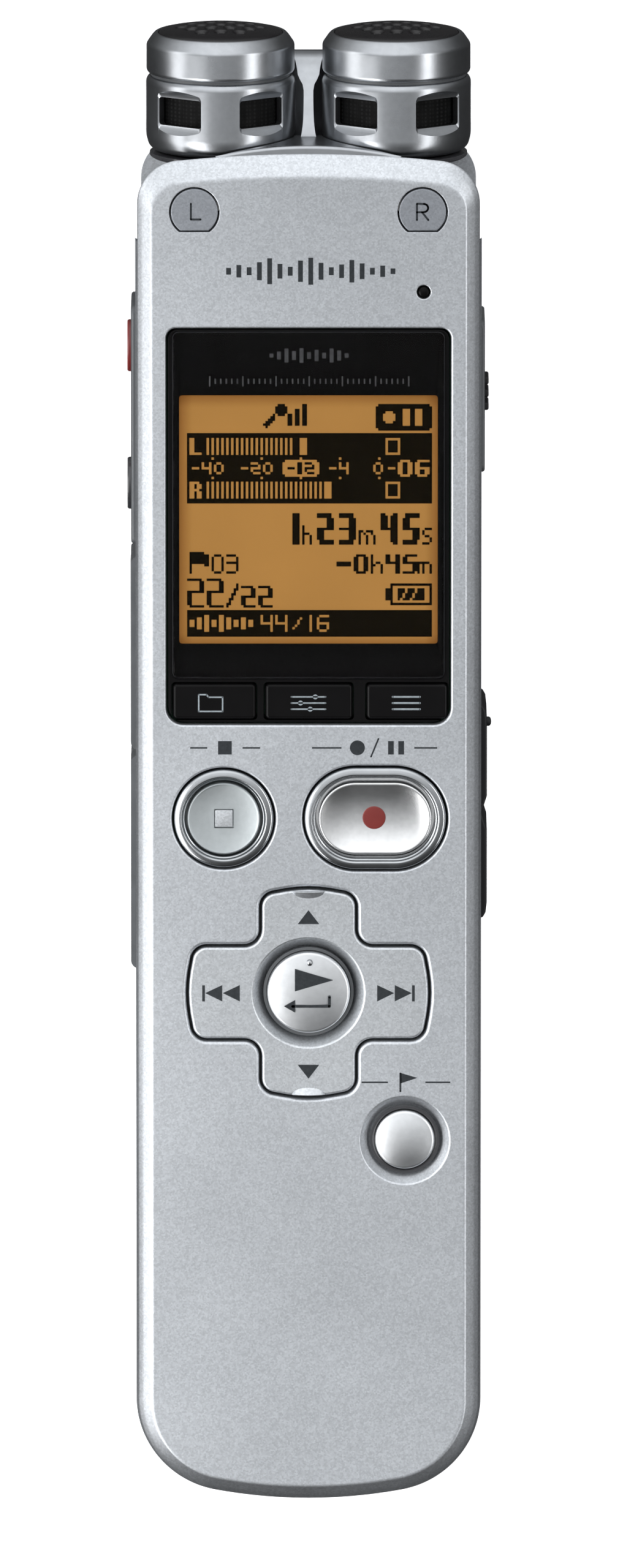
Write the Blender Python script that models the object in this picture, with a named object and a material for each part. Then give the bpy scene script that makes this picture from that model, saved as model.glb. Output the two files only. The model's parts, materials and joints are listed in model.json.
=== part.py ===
"""A hand-held field recorder lying on its back: +Z out of the display, +Y towards the microphones, +X to the
right of someone reading the display. The origin is under the middle of the recorder, on the surface it lies on.

Sizes below are millimetres. add() and add_cutter() turn them into metres."""

import math

import bmesh
import bpy
from mathutils import Matrix, Vector

MM = 0.001
GAP = 0.3

# Covers
HALF_WIDTH = 15.2
COVER_BOTTOM_Y = -65.5
COVER_TOP_Y = 55.5
BOTTOM_ARC_R = 45.0
BOTTOM_CORNER_R = 8.5
TOP_ARC_R = 110.0
TOP_CORNER_R = 4.0
FACE_Z = 16.0
PLATE_UNDER_Z = 14.9
SPLIT_Z = 13.3
SKIRT_THICK = 1.1
REAR_INSET = 0.2
REAR_WALL = 1.4
REAR_FLOOR = 1.2
REAR_TOP_Z = SPLIT_Z - GAP
# How far a cover's edge is drawn in, and the height below its face
FACE_EDGE = ((0.0, 1.3), (0.1, 0.8), (0.4, 0.4), (0.85, 0.12), (1.4, 0.0))
REAR_EDGE = ((2.2, 0.0), (1.3, 0.22), (0.55, 0.75), (0.12, 1.5), (0.0, 2.3))

# Display opening with its three keys
OPENING_X = 12.5
OPENING_Y = (4.5, 39.9)
FRAME_Z = (13.6, 15.6)
WINDOW_Y = (8.9, 39.1)
WINDOW_X = 11.7
WINDOW_Z = (15.05, 15.8)
LCD_X = 11.3
LCD_Y = (10.5, 35.0)
LCD_Z = (13.5, 14.6)
KEY_Y = (5.25, 8.0)
KEY_SPANS = {"folder_button": (-11.55, -4.9), "mode_button": (-3.6, 3.6), "menu_button": (4.9, 11.55)}
KEY_Z = (13.9, 15.7)

# Front buttons
BUTTON_FOOT_Z = 13.9
BUTTON_TOP_Z = 16.2
RING_Z = (14.9, 16.3)
STOP_AT = (-7.46, -3.9)
STOP_R = 3.05
STOP_HOLE_R = 4.55
RECORD_AT = (5.87, -3.9)
RECORD_HALF = (4.85, 3.1)
RECORD_HOLE_HALF = (6.4, 4.72)
CROSS_AT = (0.0, -19.57)
CROSS_HALF = (10.5, 9.25)
CROSS_ARM_HALF = 4.15
CROSS_Z = (14.5, 16.0)
CROSS_TILT_Z = 14.0
PLAY_R = 3.6
MARK_AT = (8.49, -32.84)
MARK_R = 2.75
MARK_DISH_R = 3.87

# Lamps in the face
PEAK_LAMP_X = 10.0
PEAK_LAMP_Y = 50.25
PEAK_LAMP_R = 2.12
PEAK_LAMP_FLAT = 1.7
POWER_LAMP_AT = (10.1, 43.13)
POWER_LAMP_R = 0.57

# Side pieces: where each one sits along the body
SIDE_Z = (3.9, 12.1)
SIDE_SKIN_X = (14.2, 15.6)
JACK_PANEL_Y = (19.9, 41.2)
USB_DOOR_Y = (1.5, 18.8)
CARD_DOOR_Y = (-18.14, 1.0)
DOOR_HINGE_X = 14.95
DOOR_THICK = 1.4
SWITCH_PLATE_Y = (26.3, 39.9)
SWITCH_SLOT_Y = (28.0, 37.9)
SWITCH_KNOB_Y = (30.0, 35.9)
SWITCH_RIBS_Y = (34.08, 32.94, 31.79)
ROCKER_Y = (-13.6, 5.5)
ROCKER_PIVOT = (13.0, -4.05)
MIC_JACK_Y = 37.0
PHONES_JACK_Y = 24.7
JACK_Z = 8.0
JACK_BORE_R = 1.78
JACK_R = 2.3

# Microphone heads
HEAD_X = 7.72
HEAD_Z = 8.05
PIVOT_Y = 51.1
SWEEP_R = 7.75
SWING_DEGREES = 60
DRUM_R = 4.6
HEAD_R = 6.54
HEAD_BOTTOM_Y = 54.6
HEAD_SPLIT_Y = 61.25
CAP_R = 6.43
CAP_TOP_Y = 65.0
GRILLE_TOP_Y = 65.5
GRILLE_R = 5.15
HEAD_WINDOWS = 5
HEAD_WINDOW_Y = (57.2, 60.0)
HEAD_WINDOW_HALF = 2.2
POCKET_R = 7.3

# Inside
BOARD_Z = (12.45, 13.25)
CELL_R = 5.25
CELL_X = 5.6
CELL_Z = 6.75
CELL_Y = (-59.6, -15.9)
DOOR_END_Y = -13.0
DOOR_HALF = 11.5
DOOR_END_HEIGHT = 7.0
SCREWS_AT = ((-10.9, 41.0), (10.9, 41.0), (-10.9, -9.8), (10.9, -9.8))
SCREW_HEAD_R = 1.6
BOSS_R = 2.4
BOSS_TOP_Z = 5.2
SPEAKER_AT = (0.0, 30.0)
SPEAKER_HOLE_R = 0.5
SPEAKER_HOLES_PITCH = 2.0
SPRING_TURNS = 2
SPRING_WIRE_R = 0.25
SPRING_SMALL_R = 1.8
SPRING_WIDENS = 1.8
SPRING_LENGTH = 1.3

# The saddle from the side as (y, z): deck, outer wall, top bar, and the sweep back up to the face
BRIDGE_SIDE = (
    (53.0, 1.5),
    (55.6, 1.5),
    (55.6, 0.0),
    (61.9, 0.0),
    (62.3, 0.5),
    (62.3, 2.2),
    (61.8, 3.6),
    (61.2, 4.8),
    (60.9, 6.6),
    (60.2, 7.8),
    (58.8, 8.4),
    (57.2, 8.9),
    (55.8, 9.7),
    (54.6, 11.4),
    (53.6, 14.0),
    (53.0, 14.0),
)
BRIDGE_X = 7.5
BRIDGE_CORNER_R = 3.5

# Base colour, roughness and metallic of each kind of part
SILVER = ((0.44, 0.46, 0.48), 0.38, 0.85)
CHROME = ((0.62, 0.64, 0.66), 0.15, 1.0)
DARK = ((0.02, 0.02, 0.022), 0.35, 0.0)
GREY = ((0.12, 0.125, 0.13), 0.45, 0.2)
STEEL = ((0.5, 0.5, 0.5), 0.3, 1.0)
BOARD = ((0.02, 0.1, 0.05), 0.6, 0.0)
AMBER = ((0.45, 0.22, 0.04), 0.4, 0.0)
RED = ((0.4, 0.03, 0.03), 0.4, 0.0)

ROUND = 32
SMALL_ROUND = 16


def clear_scene():
    for item in list(bpy.data.objects):
        bpy.data.objects.remove(item)


def finish(name, colour, roughness, metallic):
    """A plain Principled material named after its object."""
    made = bpy.data.materials.new(name)
    made.use_nodes = True
    shader = made.node_tree.nodes["Principled BSDF"]
    shader.inputs["Base Color"].default_value = (*colour, 1.0)
    shader.inputs["Roughness"].default_value = roughness
    shader.inputs["Metallic"].default_value = metallic
    return made


# Shapes are lists of (points, faces). Every helper below returns one such list.


def loft(rings):
    """Rings of equally many points joined one to the next, with a flat cap on each end."""
    count = len(rings[0])
    points = [point for ring in rings for point in ring]
    faces = [list(range(count)), list(range(len(points) - count, len(points)))]
    for start in range(0, len(points) - count, count):
        for i in range(count):
            after = (i + 1) % count
            faces.append([start + i, start + after, start + count + after, start + count + i])
    return [(points, faces)]


def prism(outline, low, high, axis="Z"):
    """A flat outline pushed from low to high along an axis. The outline's two numbers follow the axis in turn."""
    order = {"X": (2, 0, 1), "Y": (1, 2, 0), "Z": (0, 1, 2)}[axis]
    rings = [[(*point, height) for point in outline] for height in (low, high)]
    return loft([[tuple(point[i] for i in order) for point in ring] for ring in rings])


def block(x, y, z):
    outline = ((x[0], y[0]), (x[1], y[0]), (x[1], y[1]), (x[0], y[1]))
    return prism(outline, *z)


def arc(centre, radius, start, end, steps):
    """Points along an arc, its angles in degrees."""
    turns = [math.radians(start + (end - start) * i / steps) for i in range(steps + 1)]
    return [(centre[0] + radius * math.cos(t), centre[1] + radius * math.sin(t)) for t in turns]


def circle(centre, radius, steps=ROUND):
    return arc(centre, radius, 0, 360, steps)[:-1]


def turned(profile, centre, axis="Y", steps=ROUND):
    """A profile of (radius, height) turned about an axis through centre. Radius 0 is drawn as a tiny cap."""
    first, second = centre
    rings = [circle((0, 0), max(radius, 0.02), steps) for radius, _ in profile]
    heights = [height for _, height in profile]
    if axis == "Z":
        placed = [[(first + a, second + b, h) for a, b in r] for r, h in zip(rings, heights)]
    elif axis == "Y":
        placed = [[(first + a, h, second + b) for a, b in r] for r, h in zip(rings, heights)]
    else:
        placed = [[(h, first + a, second + b) for a, b in r] for r, h in zip(rings, heights)]
    return loft(placed)


def tube(profile, centre, axis="Y", steps=ROUND):
    """A closed profile loop of (radius, height) turned about an axis, which leaves its middle open."""
    shape = turned(profile + profile[:1], centre, axis, steps)
    points, faces = shape[0]
    whole = len(profile) * steps
    return [(points[:whole], [[i % whole for i in face] for face in faces[2:]])]


def stadium(centre, half_x, half_y, steps=SMALL_ROUND):
    """An outline with straight long sides and half-round ends, its long side along X."""
    straight = half_x - half_y
    right = arc((centre[0] + straight, centre[1]), half_y, -90, 90, steps)
    left = arc((centre[0] - straight, centre[1]), half_y, 90, 270, steps)
    return right + left


def cover_outline(inset):
    """The recorder's outline: a wide arc at each end, straight sides, round corners."""
    side = HALF_WIDTH - inset
    right = []
    ends = (
        (COVER_BOTTOM_Y + inset, BOTTOM_ARC_R - inset, BOTTOM_CORNER_R - inset, 1, 9),
        (COVER_TOP_Y - inset, TOP_ARC_R - inset, TOP_CORNER_R - inset, -1, 6),
    )
    for end_y, wide, corner, inward, steps in ends:
        corner_x = side - corner
        reach = math.sqrt((wide - corner) ** 2 - corner_x**2)
        corner_at = (corner_x, end_y + inward * (wide - reach))
        lean = math.degrees(math.asin(corner_x / (wide - corner)))
        wide_arc = arc((0, end_y + inward * wide), wide, -inward * 90, -inward * (90 - lean), 4)
        corner_arc = arc(corner_at, corner, -inward * (90 - lean), 0, steps)
        stretch = wide_arc + corner_arc[1:]
        right += stretch if inward == 1 else stretch[::-1]
    left = [(-x, y) for x, y in reversed(right[1:-1])]
    return right + left


def cross_outline(half_x, half_y, arm, inner=1.3, outer=1.2, steps=3):
    """A plus shape with round inner and outer corners."""
    quarter = arc((half_x - outer, arm - outer), outer, 0, 90, steps)
    quarter += arc((arm + inner, arm + inner), inner, 270, 180, steps)
    quarter += arc((arm - outer, half_y - outer), outer, 0, 90, steps)
    outline = list(quarter)
    outline += [(-x, y) for x, y in reversed(quarter)]
    outline += [(-x, -y) for x, y in quarter]
    outline += [(x, -y) for x, y in reversed(quarter)]
    return [(CROSS_AT[0] + x, CROSS_AT[1] + y) for x, y in outline]


def rounded(x, y, radius, steps=4):
    """A rectangle's outline with round corners."""
    corners = ((x[1], y[0], -90), (x[1], y[1], 0), (x[0], y[1], 90), (x[0], y[0], 180))
    outline = []
    for corner_x, corner_y, start in corners:
        centre_x = corner_x - math.copysign(radius, corner_x - sum(x) / 2)
        centre_y = corner_y - math.copysign(radius, corner_y - sum(y) / 2)
        outline += arc((centre_x, centre_y), radius, start, start + 90, steps)
    return outline


def mesh_of(name, shape, origin=(0, 0, 0)):
    build = bmesh.new()
    for points, faces in shape:
        corners = [build.verts.new(point) for point in points]
        for face in faces:
            build.faces.new([corners[i] for i in face])
    bmesh.ops.remove_doubles(build, verts=build.verts, dist=1e-4)
    bmesh.ops.recalc_face_normals(build, faces=build.faces)
    build.transform(Matrix.Scale(MM, 4) @ Matrix.Translation(-Vector(origin)))
    mesh = bpy.data.meshes.new(name)
    build.to_mesh(mesh)
    build.free()
    mesh.shade_smooth()
    mesh.set_sharp_from_angle(angle=math.radians(35))
    return mesh


def add(name, shape, look, origin=(0, 0, 0)):
    """One sub-part: its own object and material, with its origin where a joint's axis runs."""
    made = bpy.data.objects.new(name, mesh_of(name, shape, origin))
    made.location = Vector(origin) * MM
    made.data.materials.append(finish(name, *look))
    bpy.context.scene.collection.objects.link(made)
    return made


def add_cutter(name, shape):
    made = bpy.data.objects.new(name, mesh_of(name, shape))
    made.hide_render = True
    made.display_type = "WIRE"
    bpy.context.scene.collection.objects.link(made)
    return made


def shape_with(target, cutter, operation="DIFFERENCE"):
    modifier = target.modifiers.new(cutter.name, "BOOLEAN")
    modifier.operation = operation
    modifier.object = cutter


def cut(target, name, shape):
    shape_with(target, add_cutter(f"{target.name}_{name}", shape))


def join(target, name, shape):
    shape_with(target, add_cutter(f"{target.name}_{name}", shape), "UNION")


def head_room(low, high):
    """The space in which the two heads swing: round each pivot, clear of a head swung right out, open at the top."""
    swung = math.radians(90 - SWING_DEGREES)
    along = Vector((math.cos(swung), math.sin(swung)))
    across = Vector((along.y, -along.x))
    clear = HEAD_R + GAP
    start = math.sqrt(SWEEP_R**2 - clear**2)
    leave = math.degrees(swung - math.atan2(clear, start))
    outline = arc((0, 0), SWEEP_R, -180, leave, ROUND // 2)
    outline.append(tuple(along * 14 + across * clear))
    outline += [(outline[-1][0], 10.0), (-SWEEP_R, 10.0)]
    room = []
    for side in (-1, 1):
        room += prism([(side * (HEAD_X + x), PIVOT_Y + y) for x, y in outline], low, high)
    return room


def make_front_cover():
    rings = [[(x, y, SPLIT_Z) for x, y in cover_outline(0)]]
    rings += [[(x, y, FACE_Z - drop) for x, y in cover_outline(inset)] for inset, drop in FACE_EDGE]
    cover = add("front_cover", loft(rings), SILVER)
    cut(cover, "hollow", prism(cover_outline(SKIRT_THICK), SPLIT_Z - 1, PLATE_UNDER_Z))
    for number, part in enumerate(head_room(SPLIT_Z - 1, PLATE_UNDER_Z)):
        cut(cover, f"head_room_{number}", [part])
    through = (PLATE_UNDER_Z - 1, FACE_Z + 1)
    holes = prism(rounded((-OPENING_X, OPENING_X), OPENING_Y, 1.0), *through)
    holes += prism(circle(STOP_AT, STOP_HOLE_R), *through)
    holes += prism(stadium(RECORD_AT, *RECORD_HOLE_HALF), *through)
    cross = cross_outline(CROSS_HALF[0] + GAP, CROSS_HALF[1] + GAP, CROSS_ARM_HALF + GAP, 1.0, 1.5)
    holes += prism(cross, *through)
    holes += prism(circle(MARK_AT, MARK_R + GAP), *through)
    holes += prism(circle(POWER_LAMP_AT, POWER_LAMP_R + GAP, SMALL_ROUND), *through)
    cut(cover, "holes", holes)
    dish = prism(circle(MARK_AT, MARK_DISH_R), FACE_Z - 0.35, FACE_Z + 1)
    for side in (-1, 1):
        dish += prism(lamp_outline(side, PEAK_LAMP_R + 0.1), FACE_Z - 0.85, FACE_Z + 1)
    cut(cover, "recesses", dish)


def lamp_outline(side, radius):
    """A disc with its lower edge cut straight."""
    start = math.degrees(math.acos(PEAK_LAMP_FLAT / PEAK_LAMP_R)) - 90
    return arc((side * PEAK_LAMP_X, PEAK_LAMP_Y), radius, start, 180 - start, 24)


def rear_tub():
    """The rear shell before its openings: floor, round edge and walls as one cup."""
    rings = [[(x, y, z) for x, y in cover_outline(REAR_INSET + inset)] for inset, z in REAR_EDGE]
    rings.append([(x, y, REAR_TOP_Z) for x, y in cover_outline(REAR_INSET)])
    return loft(rings)


def hollow_rear():
    inner = cover_outline(REAR_INSET + REAR_WALL)
    low = [(x, y, REAR_FLOOR) for x, y in cover_outline(REAR_INSET + REAR_WALL + 0.9)]
    rings = [low, [(x, y, REAR_FLOOR + 0.9) for x, y in inner], [(x, y, REAR_TOP_Z + 1) for x, y in inner]]
    return loft(rings)


def side_window(side, y, z=SIDE_Z):
    """The opening in a side wall that a side piece fits with a gap all round."""
    x = sorted((side * 12.0, side * 16.5))
    return block(x, (y[0] - GAP, y[1] + GAP), (z[0] - GAP, z[1] + GAP))


def make_rear_cover():
    cover = add("rear_cover", rear_tub(), SILVER)
    cut(cover, "hollow", hollow_rear())
    for number, part in enumerate(head_room(REAR_FLOOR + 0.1, REAR_TOP_Z + 1)):
        cut(cover, f"head_room_{number}", [part])
    windows = side_window(-1, JACK_PANEL_Y) + side_window(-1, (CARD_DOOR_Y[0], USB_DOOR_Y[1]))
    windows += side_window(1, SWITCH_PLATE_Y) + side_window(1, ROCKER_Y)
    cut(cover, "side_windows", windows)
    way = block((-DOOR_HALF - GAP, DOOR_HALF + GAP), (-70, DOOR_END_Y + GAP), (-1, DOOR_END_HEIGHT + GAP))
    cut(cover, "door_way", way)
    for number, place in enumerate(SCREWS_AT):
        join(cover, f"boss_{number}", prism(circle(place, BOSS_R, SMALL_ROUND), REAR_FLOOR / 2, BOSS_TOP_Z))
    holes = []
    for place in SCREWS_AT:
        profile = ((SCREW_HEAD_R + GAP, -1), (SCREW_HEAD_R + GAP, 1.4), (1.1, 1.4), (1.1, BOSS_TOP_Z + 1))
        holes += turned(profile, place, "Z", SMALL_ROUND)
    cut(cover, "screw_holes", holes)
    holes = []
    for place in [SPEAKER_AT] + circle(SPEAKER_AT, SPEAKER_HOLES_PITCH, 6):
        holes += prism(circle(place, SPEAKER_HOLE_R, 8), -1, REAR_FLOOR + 1)
    cut(cover, "speaker_holes", holes)


def make_battery_door():
    """The lower rear panel with its end wall, which slides off towards the bottom end."""
    door = add("battery_door", rear_tub(), SILVER)
    cut(door, "hollow", hollow_rear())
    keep = block((-DOOR_HALF, DOOR_HALF), (-70, DOOR_END_Y), (-1, DOOR_END_HEIGHT))
    shape_with(door, add_cutter("battery_door_keep", keep), "INTERSECT")


def make_display():
    x = (-OPENING_X + GAP, OPENING_X - GAP)
    y = (OPENING_Y[0] + GAP, OPENING_Y[1] - GAP)
    frame = add("display_frame", prism(rounded(x, y, 0.8, 3), *FRAME_Z), DARK)
    low = WINDOW_Z[0] - 0.2
    cut(frame, "window_seat", block((-12.0, 12.0), (WINDOW_Y[0] - GAP, WINDOW_Y[1] + GAP), (low, 17)))
    holes = block((-LCD_X - GAP, LCD_X + GAP), (LCD_Y[0] - GAP, LCD_Y[1] + GAP), (13, 16))
    for span in KEY_SPANS.values():
        key_x = (span[0] - GAP, span[1] + GAP)
        holes += block(key_x, (KEY_Y[0] - GAP + 0.1, KEY_Y[1] + GAP), (13, 17))
    cut(frame, "holes", holes)
    add("display_window", block((-WINDOW_X, WINDOW_X), WINDOW_Y, WINDOW_Z), DARK)
    add("lcd_module", block((-LCD_X, LCD_X), LCD_Y, LCD_Z), AMBER)
    for name, span in KEY_SPANS.items():
        add(name, prism(rounded(span, KEY_Y, 0.3, 2), *KEY_Z), DARK, (sum(span) / 2, sum(KEY_Y) / 2, KEY_Z[0]))


def ring_shape(outer, inner):
    """A flat ring between two outlines of equally many points."""
    low, high = RING_Z
    rings = [[(x, y, z) for x, y in line] for line, z in ((outer, low), (outer, high), (inner, high), (inner, low))]
    points = [point for ring in rings for point in ring]
    count = len(outer)
    faces = []
    for row in range(4):
        for i in range(count):
            here, after = row * count, (row + 1) % 4 * count
            j = (i + 1) % count
            faces.append([here + i, here + j, after + j, after + i])
    return [(points, faces)]


def make_front_buttons():
    add("stop_ring", ring_shape(circle(STOP_AT, STOP_HOLE_R - GAP), circle(STOP_AT, STOP_R + GAP)), CHROME)
    outer = [half - GAP for half in RECORD_HOLE_HALF]
    inner = [half + GAP for half in RECORD_HALF]
    add("record_ring", ring_shape(stadium(RECORD_AT, *outer), stadium(RECORD_AT, *inner)), CHROME)
    foot, top = BUTTON_FOOT_Z, BUTTON_TOP_Z
    flange = foot + 0.6
    shape = turned(((STOP_R + 0.8, foot), (STOP_R + 0.8, flange), (STOP_R, flange), (STOP_R, top)), STOP_AT, "Z")
    add("stop_button", shape, SILVER, (*STOP_AT, foot))
    half_x, half_y = RECORD_HALF
    levels = ((0.8, foot), (0.8, flange), (0, flange), (0, top - 0.3), (-0.4, top))
    rings = [[(x, y, z) for x, y in stadium(RECORD_AT, half_x + grow, half_y + grow)] for grow, z in levels]
    add("record_button", loft(rings), CHROME, (*RECORD_AT, foot))
    profile = ((MARK_R + 0.8, foot), (MARK_R + 0.8, flange), (MARK_R, flange), (MARK_R, 15.8), (1.6, 16.1))
    add("track_mark_button", turned(profile, MARK_AT, "Z"), SILVER, (*MARK_AT, foot))


def make_cross_key():
    """The four-way key, the ring that it tilts on, and the play button through its middle."""
    pivot = (*CROSS_AT, CROSS_TILT_Z)
    key = add("control_key", prism(cross_outline(*CROSS_HALF, CROSS_ARM_HALF), *CROSS_Z), SILVER, pivot)
    cut(key, "middle", prism(circle(CROSS_AT, PLAY_R + 0.4), 13, 17))
    ring = [(4.1, 13.85), (5.4, 13.85), (5.4, 14.1), (4.1, 14.1)]
    add("control_key_pivot", tube(ring, CROSS_AT, "Z"), GREY, pivot)
    play = ((PLAY_R, BUTTON_FOOT_Z), (PLAY_R, 16.0), (2.6, 16.25))
    add("play_button", turned(play, CROSS_AT, "Z"), CHROME, (*CROSS_AT, BUTTON_FOOT_Z))


def make_lamps():
    for side, name in ((-1, "peak_lamp_left"), (1, "peak_lamp_right")):
        add(name, prism(lamp_outline(side, PEAK_LAMP_R - 0.2), FACE_Z - 0.5, FACE_Z), GREY)
    lamp = prism(circle(POWER_LAMP_AT, POWER_LAMP_R, SMALL_ROUND), 14.2, FACE_Z - 0.15)
    add("operation_lamp", lamp, DARK)


def make_jacks():
    x = (-SIDE_SKIN_X[1], -SIDE_SKIN_X[0])
    panel = add("jack_panel", block(x, JACK_PANEL_Y, SIDE_Z), GREY)
    holes = []
    for place in (MIC_JACK_Y, PHONES_JACK_Y):
        holes += turned(((JACK_R + GAP, -17), (JACK_R + GAP, -13)), (place, JACK_Z), "X")
    cut(panel, "holes", holes)
    for name, place, look in (("mic_jack", MIC_JACK_Y, RED), ("headphone_jack", PHONES_JACK_Y, DARK)):
        bore = [(JACK_R, -4.5), (JACK_R, -15.9), (JACK_BORE_R, -15.9), (JACK_BORE_R, -5.5)]
        add(name, turned(bore + [(0, -5.5)], (place, JACK_Z), "X"), look)


def door_outline(y):
    """A door from above: a plate whose lower end is round about its hinge."""
    hinge_y = y[0] + DOOR_THICK / 2
    low_x, high_x = -DOOR_HINGE_X - DOOR_THICK / 2, -DOOR_HINGE_X + DOOR_THICK / 2
    end = arc((-DOOR_HINGE_X, hinge_y), DOOR_THICK / 2, 180, 360, 8)
    return end + [(high_x, y[1] - GAP), (low_x + 0.4, y[1]), (low_x, y[1] - 0.4)]


def make_doors():
    for name, y in (("usb_door", USB_DOOR_Y), ("card_door", CARD_DOOR_Y)):
        origin = (-DOOR_HINGE_X, y[0] + DOOR_THICK / 2, sum(SIDE_Z) / 2)
        add(name, prism(door_outline(y), *SIDE_Z), GREY, origin)
    card = add("card_socket", block((-13.8, -0.5), (-13.6, -1.0), (5.6, 8.2)), STEEL)
    cut(card, "slot", block((-15, -2.0), (-12.9, -1.7), (6.2, 7.6)))
    usb = add("usb_socket", block((-13.8, -5.0), (6.4, 14.0), (5.4, 10.0)), STEEL)
    cut(usb, "slot", block((-15, -6.0), (6.9, 13.5), (6.1, 9.3)))


def make_hold_switch():
    plate = add("hold_switch_plate", block((14.2, 15.5), SWITCH_PLATE_Y, SIDE_Z), GREY)
    cut(plate, "slot", block((13, 17), SWITCH_SLOT_Y, (6.0, 10.0)))
    knob = block((13.4, 15.35), SWITCH_KNOB_Y, (6.3, 9.7))
    switch = add("hold_switch", knob, DARK, (14.4, sum(SWITCH_KNOB_Y) / 2, JACK_Z))
    for number, rib_y in enumerate(SWITCH_RIBS_Y):
        rib = block((15.0, 15.77), (rib_y - 0.35, rib_y + 0.35), (6.3, 9.7))
        join(switch, f"rib_{number}", rib)


def make_rocker():
    """The volume key, which rocks on a pin behind its middle."""
    pivot_x, pivot_y = ROCKER_PIVOT
    low, high = ROCKER_Y
    skin = [(14.35, low + 0.1), (15.5, low), (15.7, low + 1.2), (15.7, pivot_y - 1.3), (15.1, pivot_y - 0.2)]
    skin += [(15.7, pivot_y + 1.0), (15.7, high - 1.2), (15.5, high), (14.35, high - 0.1)]
    skin += [(14.35, pivot_y + 1.6)] + arc(ROCKER_PIVOT, 1.6, 90, 270, 10) + [(14.35, pivot_y - 1.6)]
    rocker = add("volume_rocker", prism(skin, *SIDE_Z), DARK, (*ROCKER_PIVOT, sum(SIDE_Z) / 2))
    cut(rocker, "pin_hole", prism(circle(ROCKER_PIVOT, 0.8, SMALL_ROUND), 2, 14))
    dot = turned(((0.42, 15.5), (0.42, 16.0), (0.15, 16.1)), (3.3, JACK_Z), "X", 10)
    join(rocker, "dot", dot)
    pin = prism(circle(ROCKER_PIVOT, 0.5, SMALL_ROUND), 2.5, 12.3)
    add("rocker_pin", pin, STEEL)


def grille_holes(centre_x):
    """Nineteen holes on a honeycomb: rows of 3, 4, 5, 4 and 3."""
    pitch, radius = 1.7, 0.58
    holes = []
    for row in range(-2, 3):
        count = 5 - abs(row)
        for i in range(count):
            x = centre_x + (i - (count - 1) / 2) * pitch
            z = HEAD_Z + row * pitch * math.sqrt(3) / 2
            holes += turned(((radius, 62), (radius, 67)), (x, z), "Y", 6)
    return holes


def make_head(side, word):
    """One microphone head: it swings outwards about the pin that stands in its base."""
    centre = (side * HEAD_X, HEAD_Z)
    pivot = (side * HEAD_X, PIVOT_Y, HEAD_Z)
    drum = turned(((DRUM_R, 1.6), (DRUM_R, 14.5)), (side * HEAD_X, PIVOT_Y), "Z")
    base = add(f"head_base_{word}", drum, GREY, pivot)
    cut(base, "top", block((-20, 20), (54.1, 60), (0, 16)))
    join(base, "disc", turned(((6.1, 53.9), (6.1, 54.3), (4.0, 54.3), (4.0, 57.5)), centre))
    cut(base, "pin_hole", prism(circle((side * HEAD_X, PIVOT_Y), 1.3, SMALL_ROUND), 0, 16))
    bottom, top = HEAD_BOTTOM_Y, HEAD_SPLIT_Y
    wall = [(4.3, bottom), (HEAD_R - 0.9, bottom), (HEAD_R - 0.2, bottom + 0.35), (HEAD_R, bottom + 1.0)]
    wall += [(HEAD_R, top - 0.15), (HEAD_R - 0.15, top), (5.6, top), (5.6, bottom + 1.2), (4.3, bottom + 1.2)]
    body = add(f"head_body_{word}", tube(wall, centre), SILVER, pivot)
    for number in range(HEAD_WINDOWS):
        angle = math.radians(90 + (number + 0.5) * 360 / HEAD_WINDOWS)
        out = Vector((math.cos(angle), math.sin(angle)))
        across = Vector((-out.y, out.x)) * HEAD_WINDOW_HALF
        corners = [out * 4.9 - across, out * 8 - across, out * 8 + across, out * 4.9 + across]
        outline = [(HEAD_Z + c.y, centre[0] + c.x) for c in corners]
        cut(body, f"window_{number}", prism(outline, *HEAD_WINDOW_Y, axis="Y"))
    low = HEAD_SPLIT_Y + GAP
    ring = [(5.45, low), (CAP_R, low), (CAP_R, 64.2), (5.6, CAP_TOP_Y), (5.45, CAP_TOP_Y)]
    add(f"head_cap_{word}", tube(ring, centre), SILVER, pivot)
    dome = ((GRILLE_R, 64.2), (GRILLE_R, 64.95), (3.8, 65.25), (2.0, 65.44), (0, GRILLE_TOP_Y))
    grille = add(f"head_grille_{word}", turned(dome, centre), DARK, pivot)
    cut(grille, "holes", grille_holes(centre[0]))
    sleeve = [(4.95, 56.1), (5.3, 56.1), (5.3, 61.0), (4.95, 61.0)]
    add(f"head_mesh_{word}", tube(sleeve, centre, steps=24), DARK, pivot)
    capsule = turned(((4.5, 57.8), (4.5, 63.5), (4.2, 63.8)), centre, steps=24)
    add(f"mic_capsule_{word}", capsule, STEEL, pivot)
    pin = prism(circle((side * HEAD_X, PIVOT_Y), 1.0, SMALL_ROUND), 1.55, 14.55)
    add(f"pivot_pin_{word}", pin, STEEL)


def make_mic_bridge():
    """The fixed saddle between the heads: a deck, a thin web, and a low wall behind the heads."""
    bridge = add("mic_bridge", prism(BRIDGE_SIDE, -BRIDGE_X, BRIDGE_X, "X"), CHROME)
    room = []
    for side in (-1, 1):
        room += turned(((POCKET_R, 53.5), (POCKET_R, 64)), (side * HEAD_X, HEAD_Z))
    for number, part in enumerate(room):
        cut(bridge, f"pocket_{number}", [part])
    corners = rounded((-BRIDGE_X, BRIDGE_X), (50.0, 62.3), BRIDGE_CORNER_R)
    shape_with(bridge, add_cutter("mic_bridge_corners", prism(corners, -1, 17)), "INTERSECT")
    join(bridge, "deck", block((-7.3, 7.3), (44.6, 53.6), (1.5, 14.55)))
    join(bridge, "wall", block((-13.1, 13.1), (44.5, 45.9), (2.4, 12.7)))
    for side in (-1, 1):
        drum = turned(((DRUM_R + GAP, 0), (DRUM_R + GAP, 16)), (side * HEAD_X, PIVOT_Y), "Z")
        cut(bridge, f"drum_room_{side}", drum)


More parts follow.
